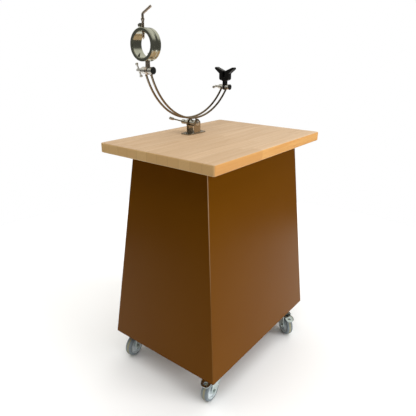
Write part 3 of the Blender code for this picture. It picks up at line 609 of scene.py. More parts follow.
def door():
    """A folded pan with soft bends, its two hinge lugs, and the knob."""
    width, height, depth = 0.400, 0.520, 0.012
    outer = rounded([(-width / 2, -height / 2, 0.0012), (width / 2, -height / 2, 0.0012), (width / 2, height / 2, 0.0012), (-width / 2, height / 2, 0.0012)], 30)
    bm = bmesh.new()
    levels = [(0.0, 0.0012), (-0.0004, 0.0003), (-0.0012, 0.0), (-depth, 0.0), (-depth, SHEET), (-SHEET - 0.0004, SHEET), (-SHEET, SHEET + 0.0004)]
    rings = []
    for level, inset in levels:
        rings.append([bm.verts.new((p.x * (1 - 2 * inset / width), level, (p.y * (1 - 2 * inset / height)) + 0.062 + height / 2)) for p in outer])
    for one, two in zip(rings, rings[1:]):
        for k in range(len(one)):
            n = (k + 1) % len(one)
            bm.faces.new((one[k], one[n], two[n], two[k]))
    bm.faces.new(rings[0])
    bm.faces.new(rings[-1])
    bmesh.ops.recalc_face_normals(bm, faces=bm.faces)
    piece("door_pan", bm, COAT, "door", "rear_door", at=WALL, sharp=35)
    hinge_x = 0.20075
    low = 0.0003
    for name, z in (("lower", 0.075), ("upper", 0.520 - 0.075)):
        spot = WALL @ Matrix.Translation((hinge_x, 0.0035, 0.062 + z))
        lug = [(-0.022, low - 0.0035, 0.0003), (-0.003, low - 0.0035, 0.001), (0.003, -0.003, 0.0028), (0.003, 0.003, 0.0028), (-0.003, 0.003, 0.0028), (-0.0048, low - 0.0022, 0.0006), (-0.022, low - 0.0022, 0.0003)]
        flat = slab(rounded(lug, 15), 0.0164, 0.0003, 2)
        hole = lathe([(0, 0.02), (0.0017, 0.02), (0.0017, -0.02), (0, -0.02)], 20)
        screws = [moved(screw_head(0.0026, 0.0008), matrix((-0.015, low - 0.0022, dz), (0, 1, 0))) for dz in (-0.0045, 0.0045)]
        piece("door_leaf_" + name, merged(carved(flat, ("DIFFERENCE", hole)), *screws), ZINC, "door", at=spot)
        parts = []
        for side in (-1, 1):
            barrel = [(0, side * 0.0085), (0.003, side * 0.0085), (0.003, side * 0.0246), (0.0026, side * 0.025), (0, side * 0.025)]
            parts.append(lathe(barrel, 32))
            parts.append(block((0.0055, 0.0012, 0.0165), (0.0042, -0.0026, side * 0.01675), 0.0003))
        parts.append(lathe([(0, 0.009), (0.0014, 0.009), (0.0014, -0.009), (0, -0.009)], 20))
        parts.append(block((0.0185, 0.0012, 0.050), (0.0128, low + 0.0006 - 0.0035, 0), 0.0004))
        parts += [moved(screw_head(0.0028, 0.0008), matrix((0.0145, low - 0.0023, dz), (0, 1, 0))) for dz in (-0.016, 0.016)]
        piece("hinge_leaf_" + name, merged(*parts), ZINC, "trolley", "door_hinge_" + name, at=spot)
    knob = [(0, 0.0220), (0.009, 0.0220), (0.0115, 0.0205), (0.012, 0.0185), (0.012, 0.0155), (0.0105, 0.0130), (0.0068, 0.0095), (0.0055, 0.0060), (0.0058, 0.0030), (0.0080, 0.0012), (0.0085, 0.0), (0, 0)]
    spot = WALL @ Matrix.Translation((hinge_x + 0.035 - 0.40075, 0.0003, 0.062 + 0.520 * 0.62)) @ matrix(z=(0, 1, 0))
    piece("door_knob_turned", lathe(smooth_profile(knob, 0.0008), 48), TURNED, "door", "door_knob", at=spot, sharp=40)
    NODES["magnetic_catch"].data.materials.clear()
    NODES["magnetic_catch"].data.materials.append(BLACK)


def floor_pan():
    """The cabinet's floor, fitted close inside the walls."""
    half = [h - SHEET - 0.0006 for h in half_at(SKIRT + 0.0025)]
    corners = [(sx * half[0], sy * half[1], 0.0045) for sx, sy in ((-1, -1), (1, -1), (1, 1), (-1, 1))]
    pan = moved(slab(rounded(corners, 5), 0.002, 0.0003), Matrix.Translation((0, 0, SKIRT + 0.0013)))
    piece("base_pan_folded", pan, COAT, "trolley", "base_plate", sharp=40)


def screw_head(radius, height):
    """A domed head with a cross recess, standing on Z = 0."""
    dome = [(0, height), (radius * 0.45, height * 0.94), (radius * 0.8, height * 0.66), (radius, height * 0.15), (radius, 0), (0, 0)]
    slot = [("DIFFERENCE", block((radius * 1.2, radius * 0.26, height), (0, 0, height))), ("DIFFERENCE", block((radius * 0.26, radius * 1.2, height), (0, 0, height)))]
    return carved(lathe(dome, 24), *slot)


# ---------------------------------------------------------------- castors
def castor(name, x, y, yaw, braked):
    fixed = Matrix.Translation((x, y, 0))
    swivel = fixed @ Matrix.Rotation(math.radians(yaw), 4, "Z")
    # mounting plate with its pressed cup and four bolts
    corners = rounded([(-0.030, -0.030, 0.005), (0.030, -0.030, 0.005), (0.030, 0.030, 0.005), (-0.030, 0.030, 0.005)])
    plate = moved(slab(corners, 0.0025, 0.0005), Matrix.Translation((0, 0, 0.09875)))
    cup = [(0, 0.0986), (0.0150, 0.0986), (0.0185, 0.0972), (0.0208, 0.0948), (0.0210, 0.0925), (0.0200, 0.0905), (0.0180, 0.0890), (0, 0.0890)]
    bolts = []
    for sx in (-1, 1):
        for sy in (-1, 1):
            at = Matrix.Translation((sx * 0.0235, sy * 0.0235, 0.0975 - 0.0036))
            bolts.append(moved(hex_profile(0.008, 0.0036), at))
            bolts.append(moved(lathe([(0, 0.0008), (0.0062, 0.0008), (0.0066, 0.0004), (0.0066, 0), (0, 0)], 24), Matrix.Translation((sx * 0.0235, sy * 0.0235, 0.0967))))
    piece(name + "_top", merged(plate, lathe(smooth_profile(cup, 0.0006), 56), *bolts), ZINC, "trolley", name + "_plate", at=fixed)
    # pressed fork
    side = [(-0.021, 0.0885, 0.004), (-0.021, 0.074, 0.008), (0.025, 0.0275, 0.010), (0.047, 0.0275, 0.010), (0.047, 0.0475, 0.012), (0.043, 0.074, 0.006), (0.043, 0.0885, 0.006)]
    upright = matrix(z=(0, -1, 0))
    body = moved(slab(rounded(side), 0.034, 0.0018, 4), upright)
    inner = slab(rounded([(-0.2, 0.0855, 0), (-0.2, -0.01, 0), (0.2, -0.01, 0), (0.2, 0.0855, 0)]), 0.029, 0)
    cuts = [("DIFFERENCE", moved(inner, upright)), ("DIFFERENCE", moved(lathe([(0, 0.05), (0.0043, 0.05), (0.0043, -0.05), (0, -0.05)], 24), matrix((0.036, 0, 0.0375), (0, 1, 0))))]
    if braked:
        cuts.append(("DIFFERENCE", moved(lathe([(0, 0.05), (0.0023, 0.05), (0.0023, -0.05), (0, -0.05)], 20), matrix((0.034, 0, 0.0805), (0, 1, 0)))))
    piece(name + "_fork_pressed", carved(body, *cuts), ZINC, name, name + "_fork", at=swivel, sharp=28)
    # axle bolt with a domed head and a hex nut, wheel and tyre
    hub = swivel @ Matrix.Translation((0.036, 0, 0.0375)) @ matrix(z=(0, 1, 0))
    shank = lathe([(0, 0.0205), (0.0030, 0.0208), (0.004, 0.0200), (0.004, -0.0180), (0, -0.0180)], 32)
    washer = [(0, 0.0007), (0.0062, 0.0007), (0.0062, 0), (0, 0)]
    nut = moved(hex_profile(0.0108, 0.0032), Matrix.Translation((0, 0, 0.0180)))
    head = moved(lathe([(0, -0.0040), (0.0040, -0.0038), (0.0058, -0.0028), (0.0064, -0.0014), (0.0065, 0), (0, 0)], 32), Matrix.Translation((0, 0, -0.0173)))
    piece(name + "_axle_bolt", merged(shank, moved(lathe(washer, 32), Matrix.Translation((0, 0, 0.0173))), nut, head), ZINC, name, name + "_axle", at=hub)
    wheel = name + "_wheel"
    rim = [(0.0285, 0.0120), (0.0285, -0.0120), (0.0272, -0.0124), (0.0258, -0.0119), (0.0250, -0.0090), (0.0238, -0.0066), (0.0150, -0.0060), (0.0118, -0.0085), (0.0100, -0.0132), (0.0090, -0.0138), (0.0043, -0.0138)]
    rim += [(r, -h) for r, h in reversed(rim[2:])]
    piece(name + "_rim_moulded", lathe(rim, 72, bored=True), RIM, wheel, name + "_rim", at=hub, sharp=40)
    tyre = [(0.0288, -0.0121), (0.0300, -0.0125), (0.0322, -0.0125), (0.0344, -0.0117), (0.0361, -0.0098), (0.0371, -0.0070), (0.0375, -0.0036)]
    tyre += [(r, -h) for r, h in reversed(tyre)]
    piece(name + "_tyre_moulded", lathe(tyre, 96, bored=True), TYRE, wheel, name + "_tyre", at=hub, sharp=50)
    if braked:
        pedal(name, swivel)


def pedal(name, swivel):
    """A pressed brake tongue: raised rim, an oval hole, and a rolled hub on its pin."""
    pin = lathe(smooth_profile([(0, 0.0170), (0.002, 0.0170), (0.002, -0.0170), (0, -0.0170)], 0.0004), 24)
    hub = lathe([(0, 0.0130), (0.0031, 0.0130), (0.0033, 0.0126), (0.0033, -0.0126), (0.0031, -0.0130), (0, -0.0130)], 32)
    bars = merged(moved(pin, matrix(z=(0, 1, 0))), moved(hub, matrix(z=(0, 1, 0))))
    line = [(0.0, 0.0012), (0.010, 0.0006), (0.018, -0.0006), (0.028, -0.0036), (0.040, -0.0085)]
    bm = bmesh.new()
    across, along = 15, 33
    grid = {}
    for level in (0, 1):
        for i in range(along + 1):
            t = i / along
            p = t * (len(line) - 1)
            k = min(int(p), len(line) - 2)
            mid = Vector(line[k]).lerp(Vector(line[k + 1]), p - k)
            far = max(0.0, (t - 0.70) / 0.30)
            wide = min(1.0, max(0.0, (t - 0.26) / 0.34))
            half = (0.0130 + 0.0035 * wide * wide * (3 - 2 * wide)) * math.sqrt(max(0.0, 1 - far ** 2.6) * 0.90 + 0.10)
            for j in range(across + 1):
                s = 2 * j / across - 1
                rim = max(abs(s) ** 6, far ** 4)
                lift = 0.0010 * rim + (0.0009 if level else -0.0009)
                grid[level, i, j] = bm.verts.new((mid.x, s * half, mid.y + lift))
    for i in range(along):
        for j in range(across):
            for level in (0, 1):
                bm.faces.new([grid[level, i, j], grid[level, i + 1, j], grid[level, i + 1, j + 1], grid[level, i, j + 1]])
    for i in range(along):
        for j in (0, across):
            bm.faces.new([grid[0, i, j], grid[0, i + 1, j], grid[1, i + 1, j], grid[1, i, j]])
    for j in range(across):
        for i in (0, along):
            bm.faces.new([grid[0, i, j], grid[0, i, j + 1], grid[1, i, j + 1], grid[1, i, j]])
    bmesh.ops.recalc_face_normals(bm, faces=bm.faces)
    oval = [(0.0275 + 0.0050 * math.cos(a * math.pi / 20), 0.0072 * math.sin(a * math.pi / 20)) for a in range(40)]
    bm = carved(bm, ("DIFFERENCE", slab(oval, 0.04, 0)))
    at = swivel @ Matrix.Translation((0.034, 0, 0.0805))
    piece(name + "_brake_tongue", merged(bm, bars), ZINC, name + "_brake", name + "_pedal", at=at, sharp=40)


# ---------------------------------------------------------------- holder base
def bracket():
    foot = Vector((0, HOLDER_Y, TOP + 0.0003))
    strip = slab(rounded([(sx * 0.046, sy * 0.0195, 0.007) for sx, sy in ((-1, -1), (1, -1), (1, 1), (-1, 1))]), 0.003, 0.0007, 3)
    strip = moved(strip, Matrix.Translation((0, 0, 0.0015)))
    holes = [("DIFFERENCE", moved(lathe([(0, 0.01), (0.0046, 0.0031), (0.0023, 0.0010), (0.0023, -0.01), (0, -0.01)], 28), Matrix.Translation((s * 0.037, 0, 0)))) for s in (-1, 1)]
    parts = [carved(strip, *holes)]
    arch = rounded([(-0.0165, 0.0012, 0), (0.0165, 0.0012, 0), (0.0165, 0.038, 0.010), (0, 0.0525, 0.009), (-0.0165, 0.038, 0.010)], 7)
    for side, hole in ((-1, 0.0090), (1, 0.0053)):
        ear = moved(slab(arch, 0.003, 0.0006, 3), matrix(z=(0, -1, 0)))
        bore = moved(lathe([(0, 0.02), (hole, 0.02), (hole, -0.02), (0, -0.02)], 48), matrix((0, 0, 0.0339), (0, 1, 0)))
        ear = carved(ear, ("DIFFERENCE", bore))
        parts.append(moved(ear, Matrix.Translation((0, side * 0.0157, 0))))
        # weld bead along the foot of each plate
        for face in (-1, 1):
            bead = [Vector((-0.0160 + 0.0320 * k / 40, side * 0.0157 + face * 0.0017, 0.0031)) for k in range(41)]
            width = [0.00085 + 0.00022 * math.sin(k * 2.2 + side + face) for k in range(41)]
            parts.append(sweep(bead, width, 12, 0.5))
    piece("bracket_pressed", merged(*parts), PRESSED, "trolley", "base_bracket", at=Matrix.Translation(foot), sharp=30)
    for name, s in (("left", -1), ("right", 1)):
        head = moved(screw_head(0.0047, 0.0022), Matrix.Translation((0, 0, 0.0034)))
        shank = lathe([(0, 0.0036), (0.0020, 0.0036), (0.0020, -0.012), (0, -0.014)], 24)
        piece("board_screw_" + name, merged(head, shank), STEEL, "trolley", "foot_screw_" + name, at=Matrix.Translation(foot + Vector((s * 0.037, 0, 0))))


def hub():
    edge, face = 0.0139, -0.0172
    tube = [(0.0100, edge - 0.0006), (0.0100, 0.0006 - edge), (0.0094, -edge), (0.0053, -edge), (0.0053, edge), (0.0094, edge)]
    parts = [moved(lathe(tube, 64, bored=True), matrix(z=(0, 1, 0)))]
    for side in (-1, 1):
        post = [(0, 0.0162), (0.0031, 0.0162), (0.0028, 0.0135), (0.0030, 0.0112), (0.0042, 0.0090), (0, 0.0090)]
        parts.append(moved(lathe(smooth_profile(post, 0.0006), 32), Matrix.Translation((0, side * 0.0105, 0))))
    piece("hub_tube_turned", merged(*parts), STEEL, "holder", "hub_tube", at=Matrix.Translation(HUB))
    bolt = [(0, 0.0455), (0.0042, 0.0455), (0.005, 0.0447), (0.005, -0.0142), (0.0085, -0.0142), (0.0087, -0.0146), (0.0087, face), (0.0080, face - 0.0012), (0.0060, face - 0.0023), (0.0032, face - 0.0028), (0, face - 0.0030)]
    # painted highlight: the pivot bolt takes the lighter satin stainless so that its domed head reads bright
    piece("pivot_bolt_domed", lathe(bolt, 64), SATIN, "trolley", "pivot_bolt", at=matrix(HUB, (0, 1, 0)), sharp=40)


def lever():
    near = 0.0175
    body = [(0, 0.0525), (0.0035, 0.0523), (0.0060, 0.0513), (0.0075, 0.0493), (0.0075, 0.0381), (0.0069, 0.0370), (0.006, 0.0362), (0.006, 0.0290), (0.0064, 0.0281), (0.0094, 0.0280), (0.010, 0.0274), (0.010, near + 0.0006), (0.0094, near), (0.0053, near), (0.0053, 0.046), (0, 0.046)]
    along = Vector((-0.057, 0.012, 0.0173)).normalized()
    start = Vector((0, 0.045, 0))
    arm = [start + along * (0.0055 + 0.041 * k / 12) for k in range(13)]
    radii = [0.0028 - 0.0005 * math.sin(math.pi * k / 12) for k in range(13)]
    parts = merged(moved(lathe(body, 56), matrix(z=(0, 1, 0))), sweep(arm, radii, 24))
    piece("clamp_lever_turned", parts, STEEL, "base_lever", "clamp_lever", at=Matrix.Translation(HUB), sharp=38)
    knob = [(0, 0.0620), (0.0018, 0.0618), (0.0036, 0.0608), (0.0047, 0.0590), (0.0050, 0.0565), (0.0050, 0.0490), (0.0046, 0.0455), (0.0040, 0.0441), (0.0029, 0.0440), (0.0028, 0.051), (0, 0.051)]
    piece("lever_grip", lathe(knob, 40), SATIN, "base_lever", "lever_knob", at=matrix(HUB + start, along), sharp=50)


# ---------------------------------------------------------------- rods and cross clamps
def rods():
    for name, side in (("front", -1), ("rear", 1)):
        points = []
        for k in range(121):
            a = math.radians(196.6 + (324.4 - 196.6) * k / 120)
            points.append(ARC_CENTRE + Vector((ARC_RADIUS * math.cos(a), side * 0.0105, ARC_RADIUS * math.sin(a))))
        points = [p for p in points if (p - Vector((RING_CLAMP.x, p.y, RING_CLAMP.z))).length > 0.0088 and (p - Vector((REST_CLAMP.x, p.y, REST_CLAMP.z))).length > 0.0082]
        parts = [sweep(points, 0.0033, 28, 0.2)]
        # weld collars where the rod meets the cross tubes and the hub's posts
        for end, nxt in ((points[0], points[3]), (points[-1], points[-4])):
            d = (nxt - end).normalized()
            parts.append(sweep([end + d * 0.0004, end + d * 0.0012, end + d * 0.0022], [0.0046, 0.0042, 0.0034], 28, 0.3))
        low = Vector((0, HOLDER_Y + side * 0.0105, ARC_CENTRE.z - ARC_RADIUS))
        parts.append(sweep([low + Vector((-0.0034, 0, -0.0024)), low + Vector((0, 0, -0.0026)), low + Vector((0.0034, 0, -0.0024))], 0.0012, 14, 0.5))
        piece(name + "_rod_bent", merged(*parts), SHADED_ROD, "holder", name + "_rod", sharp=40)


def cross_clamp(label, centre, radius, tee_angle):
    """The cross tube with its plug, and the T-handled spindle."""
    at = matrix(centre, (0, 1, 0))
    tube = [(radius, 0.0194), (radius, -0.0194), (radius - 0.0006, -0.0200), (0.0043, -0.0200), (0.0043, 0.0200), (radius - 0.0006, 0.0200)]
    piece(label + "_cross_tube", lathe(tube, 72, bored=True), SATIN, "holder", label + "_clamp_tube", at=at, sharp=40)
    edge = radius + 0.0007
    cap = [(0, -0.0203), (edge - 0.0003, -0.0203), (edge, -0.0207), (edge, -0.0222), (edge - 0.0006, -0.0230), (edge - 0.0016, -0.0232), (edge - 0.0022, -0.0227), (0.0030, -0.0227), (0.0024, -0.0231), (0, -0.0231)]
    piece(label + "_cap_disc", lathe(cap, 64), DARK, "holder", label + "_end_cap", at=at, sharp=35)
    spindle = [(0, 0.0450), (0.0030, 0.0449), (0.0039, 0.0443), (0.0042, 0.0435), (0.0042, 0.0300), (0.0046, 0.0288), (0.0062, 0.0268), (0.0066, 0.0258), (0.0066, 0.0250), (0.0080, 0.0240), (0.0080, 0.0209), (0.0076, 0.0203), (0.0040, 0.0203), (0.0040, -0.0195), (0, -0.0195)]
    turn = matrix(z=(math.sin(math.radians(tee_angle)), 0, math.cos(math.radians(tee_angle))), x=(0, 1, 0))
    hole = moved(lathe([(0, 0.02), (0.0028, 0.02), (0.0028, -0.02), (0, -0.02)], 24), Matrix.Translation((0, 0.037, 0)) @ turn)
    body = carved(moved(lathe(spindle, 48), matrix(z=(0, 1, 0))), ("DIFFERENCE", hole))
    here = Matrix.Translation(centre)
    piece(label + "_spindle_turned", body, SATIN, label + "_tee", label + "_spindle", at=here, sharp=38)
    end = 0.0215
    half = [(0.0025, end - 0.0062), (0.0030, end - 0.0058), (0.0041, end - 0.0050), (0.0045, end - 0.0040), (0.0045, end - 0.0016), (0.0038, end - 0.0004), (0.0026, end), (0, end)]
    bar = [(r, -h) for r, h in reversed(half)] + half
    piece(label + "_tee_knobbed", lathe(bar, 40), SATIN, label + "_tee", label + "_tee_bar", at=here @ Matrix.Translation((0, 0.037, 0)) @ turn, sharp=38)


def eye_screw(label, centre, tube, eye, head, body):
    """A socket-headed set screw on the eye's -X side."""
    seat = eye + 0.0003
    outer = [(head * 0.55, seat + 0.0014), (head * 0.55, seat + 0.0026), (head - 0.0006, seat + 0.0026), (head, seat + 0.0020), (head, seat), (0.0018, seat), (0.0018, tube + 0.0003), (0, tube + 0.0003)]
    screw = lathe([(0, seat + 0.0014)] + outer, 40)
    piece(label + "_grub_screw", screw, DARK, body, label + "_set_screw", at=matrix(centre, (-1, 0, 0)), sharp=35)


# ---------------------------------------------------------------- ring end
def knurled(radius, low, high, teeth=40, depth=0.0004):
    """A straight-knurled band about Z."""
    points = []
    for k in range(teeth * 4):
        a = 2 * math.pi * k / (teeth * 4)
        r = radius - (depth if k % 4 in (0, 3) else 0)
        points.append((r * math.cos(a), r * math.sin(a)))
    return moved(slab(points, high - low, 0), Matrix.Translation((0, 0, (high + low) / 2)))


def threaded(radius, low, high, pitch=0.00125, depth=0.00065, cols=36):
    """A threaded rod about Z with a 60 degree thread and tapered ends."""
    per = 8
    rows = int((high - low) / pitch * per)
    bm = bmesh.new()
    rings = []
    for i in range(rows + 1):
        z = low + (high - low) * i / rows
        fade = min(1.0, (z - low) / pitch, (high - z) / pitch)
        ring = []
        for k in range(cols):
            phase = ((z - low) / pitch - k / cols) % 1.0
            tooth = abs(2 * phase - 1)
            r = radius - depth * min(1.0, max(0.0, 1.25 * tooth - 0.125)) - 0.0003 * (1 - fade)
            a = 2 * math.pi * k / cols
            ring.append(bm.verts.new((r * math.cos(a), r * math.sin(a), z)))
        rings.append(ring)
    for one, two in zip(rings, rings[1:]):
        for k in range(cols):
            n = (k + 1) % cols
            bm.faces.new((one[k], one[n], two[n], two[k]))
    bm.faces.new(rings[0][::-1])
    bm.faces.new(rings[-1])
    bmesh.ops.recalc_face_normals(bm, faces=bm.faces)
    return bm


def hoof_ring():
    axis = matrix(RING, (1, 0, 0), (0, 0, 1))
    # eye and post
    eye = 0.0116
    ring_up = RING.z - RING_CLAMP.z
    disc = moved(lathe([(0, 0.0045), (eye - 0.0006, 0.0045), (eye, 0.0039), (eye, -0.0039), (eye - 0.0006, -0.0045), (0, -0.0045)], 64), matrix(z=(0, 1, 0)))
    stem = lathe([(0, ring_up - 0.041), (0.0067, ring_up - 0.041), (0.0067, 0.0150), (0.0069, 0.0125), (0.0069, 0.0078), (0, 0.0078)], 56)
    bore = moved(lathe([(0, 0.02), (0.0101, 0.02), (0.0101, -0.02), (0, -0.02)], 64), matrix(z=(0, 1, 0)))
    seat = moved(lathe([(0, 0.06), (0.0450, 0.06), (0.0450, -0.01), (0, -0.01)], 96), matrix((RING.x - RING_CLAMP.x, 0, ring_up), (1, 0, 0)))
    grub = moved(lathe([(0, 0.03), (0.0021, 0.03), (0.0021, 0.004), (0, 0.004)], 20), matrix(z=(-1, 0, 0)))
    post = carved(disc, ("UNION", stem), ("DIFFERENCE", bore), ("DIFFERENCE", seat), ("DIFFERENCE", grub))
    piece("ring_post_welded", post, FORGED, "ring_head", "ring_post", at=Matrix.Translation(RING_CLAMP), sharp=30)
    eye_screw("ring", RING_CLAMP, 0.0098, eye, 0.0042, "ring_head")
    # fixed housing behind the turning ring
    casing = [(0.0440, 0.0340), (0.0447, 0.0334), (0.0447, 0.0226), (0.0441, 0.0220), (0.0447, 0.0210), (0.0437, 0.0163), (0.0434, 0.0158), (0.0388, 0.0158), (0.0388, 0.0340)]
    lock = math.radians(29)
    out = Vector((0.0265, 0, 0)), Vector((0, math.sin(lock), math.cos(lock)))
    turn = axis.inverted() @ matrix(RING + out[0], out[1], (1, 0, 0))
    hole = moved(lathe([(0, 0.06), (0.0033, 0.06), (0.0033, 0.03), (0, 0.03)], 28), turn)
    piece("ring_housing_turned", carved(lathe(casing, 128, bored=True), ("DIFFERENCE", hole)), TURNED, "ring_head", "ring_housing", at=axis, sharp=28)
    shank = [(0, 0.0630), (0.0046, 0.0630), (0.0053, 0.0626), (0.0056, 0.0619), (0.0056, 0.0615), (0, 0.0615)]
    foot = [(0, 0.0559), (0.0056, 0.0559), (0.0056, 0.0552), (0.0050, 0.0546), (0.0036, 0.0544), (0.0030, 0.0536), (0.0030, 0.0391), (0, 0.0391)]
    knob = merged(lathe(shank, 48), knurled(0.0063, 0.0557, 0.0618), lathe(foot, 40))
    piece("ring_lock_knob", knob, STEEL, "ring_lock", "ring_lock_screw", at=matrix(RING + out[0], out[1], (1, 0, 0)), sharp=25)
    # turning ring: front flange with a rounded lip, and the sleeve through the housing
    sleeve = [(0.0385, 0.0355), (0.0380, 0.0360), (0.0356, 0.0360), (0.0350, 0.0354), (0.0350, 0.0014), (0.0354, 0.0004), (0.0362, 0.0), (0.0434, 0.0), (0.0443, 0.0004), (0.0447, 0.0013), (0.0447, 0.0034), (0.0443, 0.0040), (0.0443, 0.0044), (0.0447, 0.0050), (0.0447, 0.0149), (0.0441, 0.0155), (0.0385, 0.0155)]
    body = lathe(sleeve, 128, bored=True)
    hole = moved(lathe([(0, 0.06), (0.0043, 0.06), (0.0043, 0.02), (0, 0.02)], 32), axis.inverted() @ matrix((SCREW_X, HOLDER_Y, RING.z)))
    piece("turning_ring_polished", carved(body, ("DIFFERENCE", hole)), TURNED, "hoof_ring", "turning_ring", at=axis, sharp=28)
    clip = [(0.0427, 0.0356), (0.0427, 0.0345), (0.0424, 0.0343), (0.0388, 0.0343), (0.0388, 0.0358), (0.0424, 0.0358)]
    piece("retaining_ring_turned", lathe(clip, 96, bored=True), STEEL, "hoof_ring", "retaining_ring", at=axis, sharp=35)
    for name, side in (("front", 1), ("rear", -1)):
        away = Vector((0, side * math.sin(math.radians(35)), -math.cos(math.radians(35))))
        spike = [(0, 0.0347), (0.0030, 0.0347), (0.0029, 0.0336), (0.0006, 0.0266), (0, 0.0260)]
        at = matrix((SCREW_X - 0.0005, HOLDER_Y, RING.z), away)
        piece("ring_spike_" + name, lathe(spike, 32), STEEL, "hoof_ring", "grip_spike_" + name, at=at, sharp=50)


def bone_screw():
    at = Matrix.Translation((SCREW_X, HOLDER_Y, RING.z))
    point = [(0, 0.0191), (0.0030, 0.0191), (0.0034, 0.0187), (0.0031, 0.0178), (0.0005, 0.0137), (0, 0.0134)]
    piece("screw_point_ground", lathe(point, 40), FORGED, "bone_point", "screw_point", at=at, sharp=45)
    shank = merged(threaded(0.0040, 0.0194, 0.0600), lathe([(0, 0.0607), (0.0036, 0.0607), (0.0036, 0.0590), (0, 0.0590)], 36))
    piece("clamp_screw_threaded", shank, FORGED, "bone_screw", "clamp_screw", at=at, sharp=60)
    low = 0.0610
    collar = [(0, low + 0.0092), (0.0034, low + 0.0092), (0.0037, low + 0.0088), (0.0048, low + 0.0060), (0.0050, low + 0.0054), (0.0050, low + 0.0032), (0.0041, low + 0.0004), (0.0036, low), (0, low)]
    yaw, bend, r = math.radians(-52.4), math.radians(51), 0.006
    across = Vector((math.cos(yaw), math.sin(yaw), 0))
    up = Vector((0, 0, 1))
    points = [up * (low + 0.005), up * (low + 0.010), up * (low + 0.014)]
    for k in range(13):
        a = bend * k / 12
        points.append(up * (low + 0.0156) + across * r * (1 - math.cos(a)) + up * r * math.sin(a))
    reach = across * math.sin(bend) + up * math.cos(bend)
    last = points[-1]
    points += [last + reach * 0.0278 * k / 8 for k in range(1, 9)]
    radii = [0.0034] * (len(points) - 3) + [0.0035, 0.0035, 0.0035]
    piece("bent_handle_forged", merged(lathe(collar, 48), sweep(points, radii, 32, 0.25)), FORGED, "bone_screw", "bent_handle", at=at, sharp=38)


# ---------------------------------------------------------------- rest end
def v_rest():
    right = [(0.0045, 0.006, 0), (0.0045, 0.0205, 0.003), (0.020, 0.0250, 0.007), (0.020, 0.0457, 0.003), (0.040, 0.0613, 0.0039), (0.040, 0.0694, 0.0039)]
    outline = right + [(0, 0.053, 0.002)] + [(-y, z, r) for y, z, r in reversed(right)]
    stand = matrix(z=(1, 0, 0), x=(0, 1, 0))
    body = moved(slab(rounded(outline, 8), 0.0200, 0.0012, 3), stand)
    eye = 0.0110
    disc = moved(lathe([(0, 0.0045), (eye - 0.0008, 0.0045), (eye, 0.0037), (eye, -0.0037), (eye - 0.0008, -0.0045), (0, -0.0045)], 64), matrix(z=(0, 1, 0)))
    bore = moved(lathe([(0, 0.03), (0.0093, 0.03), (0.0093, -0.03), (0, -0.03)], 64), matrix(z=(0, 1, 0)))
    groove = moved(slab(rounded([(-0.0047, 0.080, 0), (0.0047, 0.080, 0), (0.0047, 0.0335, 0.0045), (-0.0047, 0.0335, 0.0045)]), 0.020, 0), Matrix.Translation((-0.010, 0, 0)) @ stand)
    grub = moved(lathe([(0, 0.03), (0.0021, 0.03), (0.0021, 0.004), (0, 0.004)], 20), matrix(z=(-1, 0, 0)))
    rest = carved(body, ("UNION", disc), ("DIFFERENCE", bore), ("DIFFERENCE", groove), ("DIFFERENCE", grub))
    piece("v_rest_moulded", rest, BLACK, "leg_rest", "v_rest", at=Matrix.Translation(REST_CLAMP), sharp=30)
    eye_screw("rest", REST_CLAMP, 0.0090, eye, 0.0028, "leg_rest")


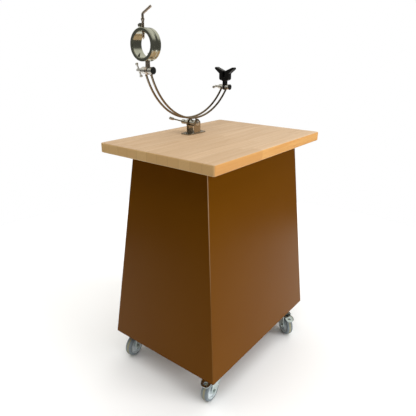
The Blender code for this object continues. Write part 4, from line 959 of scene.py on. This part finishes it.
# ---------------------------------------------------------------- stage
def stage():
    bm = bmesh.new()
    bmesh.ops.create_circle(bm, cap_ends=True, segments=128, radius=1.7)
    mesh = bpy.data.meshes.new("floor")
    bm.to_mesh(mesh)
    bm.free()
    floor = bpy.data.objects.new("floor", mesh)
    SCENE.collection.objects.link(floor)
    floor_net = Net("floor_paint", (0.93, 0.93, 0.93), 0.7)
    mesh.materials.append(floor_net.material)

    world = bpy.data.worlds.new("studio")
    SCENE.world = world
    world.use_nodes = True
    tree = world.node_tree
    tree.nodes.clear()

    def node(kind, **values):
        made = tree.nodes.new("ShaderNode" + kind)
        for key, value in values.items():
            setattr(made, key, value)
        return made

    def ranged(value, low, high, to_low=0.0, to_high=1.0):
        made = node("MapRange", interpolation_type="SMOOTHSTEP")
        tree.links.new(value, made.inputs["Value"])
        for key, number in (("From Min", low), ("From Max", high), ("To Min", to_low), ("To Max", to_high)):
            made.inputs[key].default_value = number
        return made.outputs[0]

    def joined(operation, *values):
        made = node("Math", operation=operation)
        for socket, value in zip(made.inputs, values):
            tree.links.new(value, socket)
        return made.outputs[0]

    coords = node("TexCoord").outputs["Generated"]

    def towards(direction):
        made = node("VectorMath", operation="DOT_PRODUCT")
        tree.links.new(coords, made.inputs[0])
        made.inputs[1].default_value = direction
        return made.outputs["Value"]

    # a dim room with a tall soft panel behind the object and another high on its +X side
    height = towards((0, 0, 1))
    behind = joined("MULTIPLY", ranged(towards((-0.25, 0.97, 0)), 0.10, 0.80), ranged(height, 0.08, 0.40))
    behind = joined("MULTIPLY", behind, ranged(height, 0.97, 0.75))
    side = ranged(towards((0.80, 0.05, 0.60)), 0.68, 0.93)
    level = ranged(joined("MAXIMUM", behind, side), 0.0, 1.0, 0.11, 0.85)
    room = node("Background")
    tree.links.new(level, room.inputs[1])
    room.inputs[0].default_value = (1.0, 0.98, 0.90, 1)
    white = node("Background")
    white.inputs[0].default_value = (1, 1, 1, 1)
    path = node("LightPath")
    choose = node("MixShader")
    out = node("OutputWorld")
    tree.links.new(path.outputs["Is Camera Ray"], choose.inputs[0])
    tree.links.new(room.outputs[0], choose.inputs[1])
    tree.links.new(white.outputs[0], choose.inputs[2])
    tree.links.new(choose.outputs[0], out.inputs[0])


def lamp(name, where, target, size, power, colour=(1, 1, 1)):
    data = bpy.data.lights.new(name, "AREA")
    data.shape = "RECTANGLE"
    data.size, data.size_y = size
    data.energy = power
    data.color = colour
    obj = bpy.data.objects.new(name, data)
    SCENE.collection.objects.link(obj)
    obj.location = where
    obj.rotation_euler = (Vector(target) - Vector(where)).to_track_quat("-Z", "Y").to_euler()
    return obj


def sun(name, direction, spread, strength):
    data = bpy.data.lights.new(name, "SUN")
    data.angle = math.radians(spread)
    data.energy = strength
    obj = bpy.data.objects.new(name, data)
    SCENE.collection.objects.link(obj)
    obj.rotation_euler = Vector(direction).to_track_quat("-Z", "Y").to_euler()
    obj.visible_glossy = False
    return obj


def lights():
    sun("overhead", (0.05, 0.10, -1.0), 75, 2.35)
    sun("front", (-0.28, 0.93, -0.24), 38, 2.6)
    sun("left", (0.95, 0.20, -0.25), 50, 0.22)


def camera():
    data = bpy.data.cameras.new("camera")
    data.sensor_width = 36.0
    data.lens = 36.34
    data.shift_x = 0.0046
    data.clip_end = 100
    obj = bpy.data.objects.new("camera", data)
    SCENE.collection.objects.link(obj)
    forward = Vector((0.74280, 0.57131, -0.34908))
    right = Vector((0.61253, -0.79038, 0.00983))
    obj.matrix_world = matrix((-1.1103, -0.8083, 1.0483), -forward, right)
    SCENE.camera = obj


camera()
stage()
lights()
board()
shell()
floor_pan()
door()
for castor_name, placing in CASTORS.items():
    castor(castor_name, *placing)
bracket()
hub()
lever()
rods()
cross_clamp("ring", RING_CLAMP, 0.0098, -24)
cross_clamp("rest", REST_CLAMP, 0.0090, 85)
hoof_ring()
bone_screw()
v_rest()
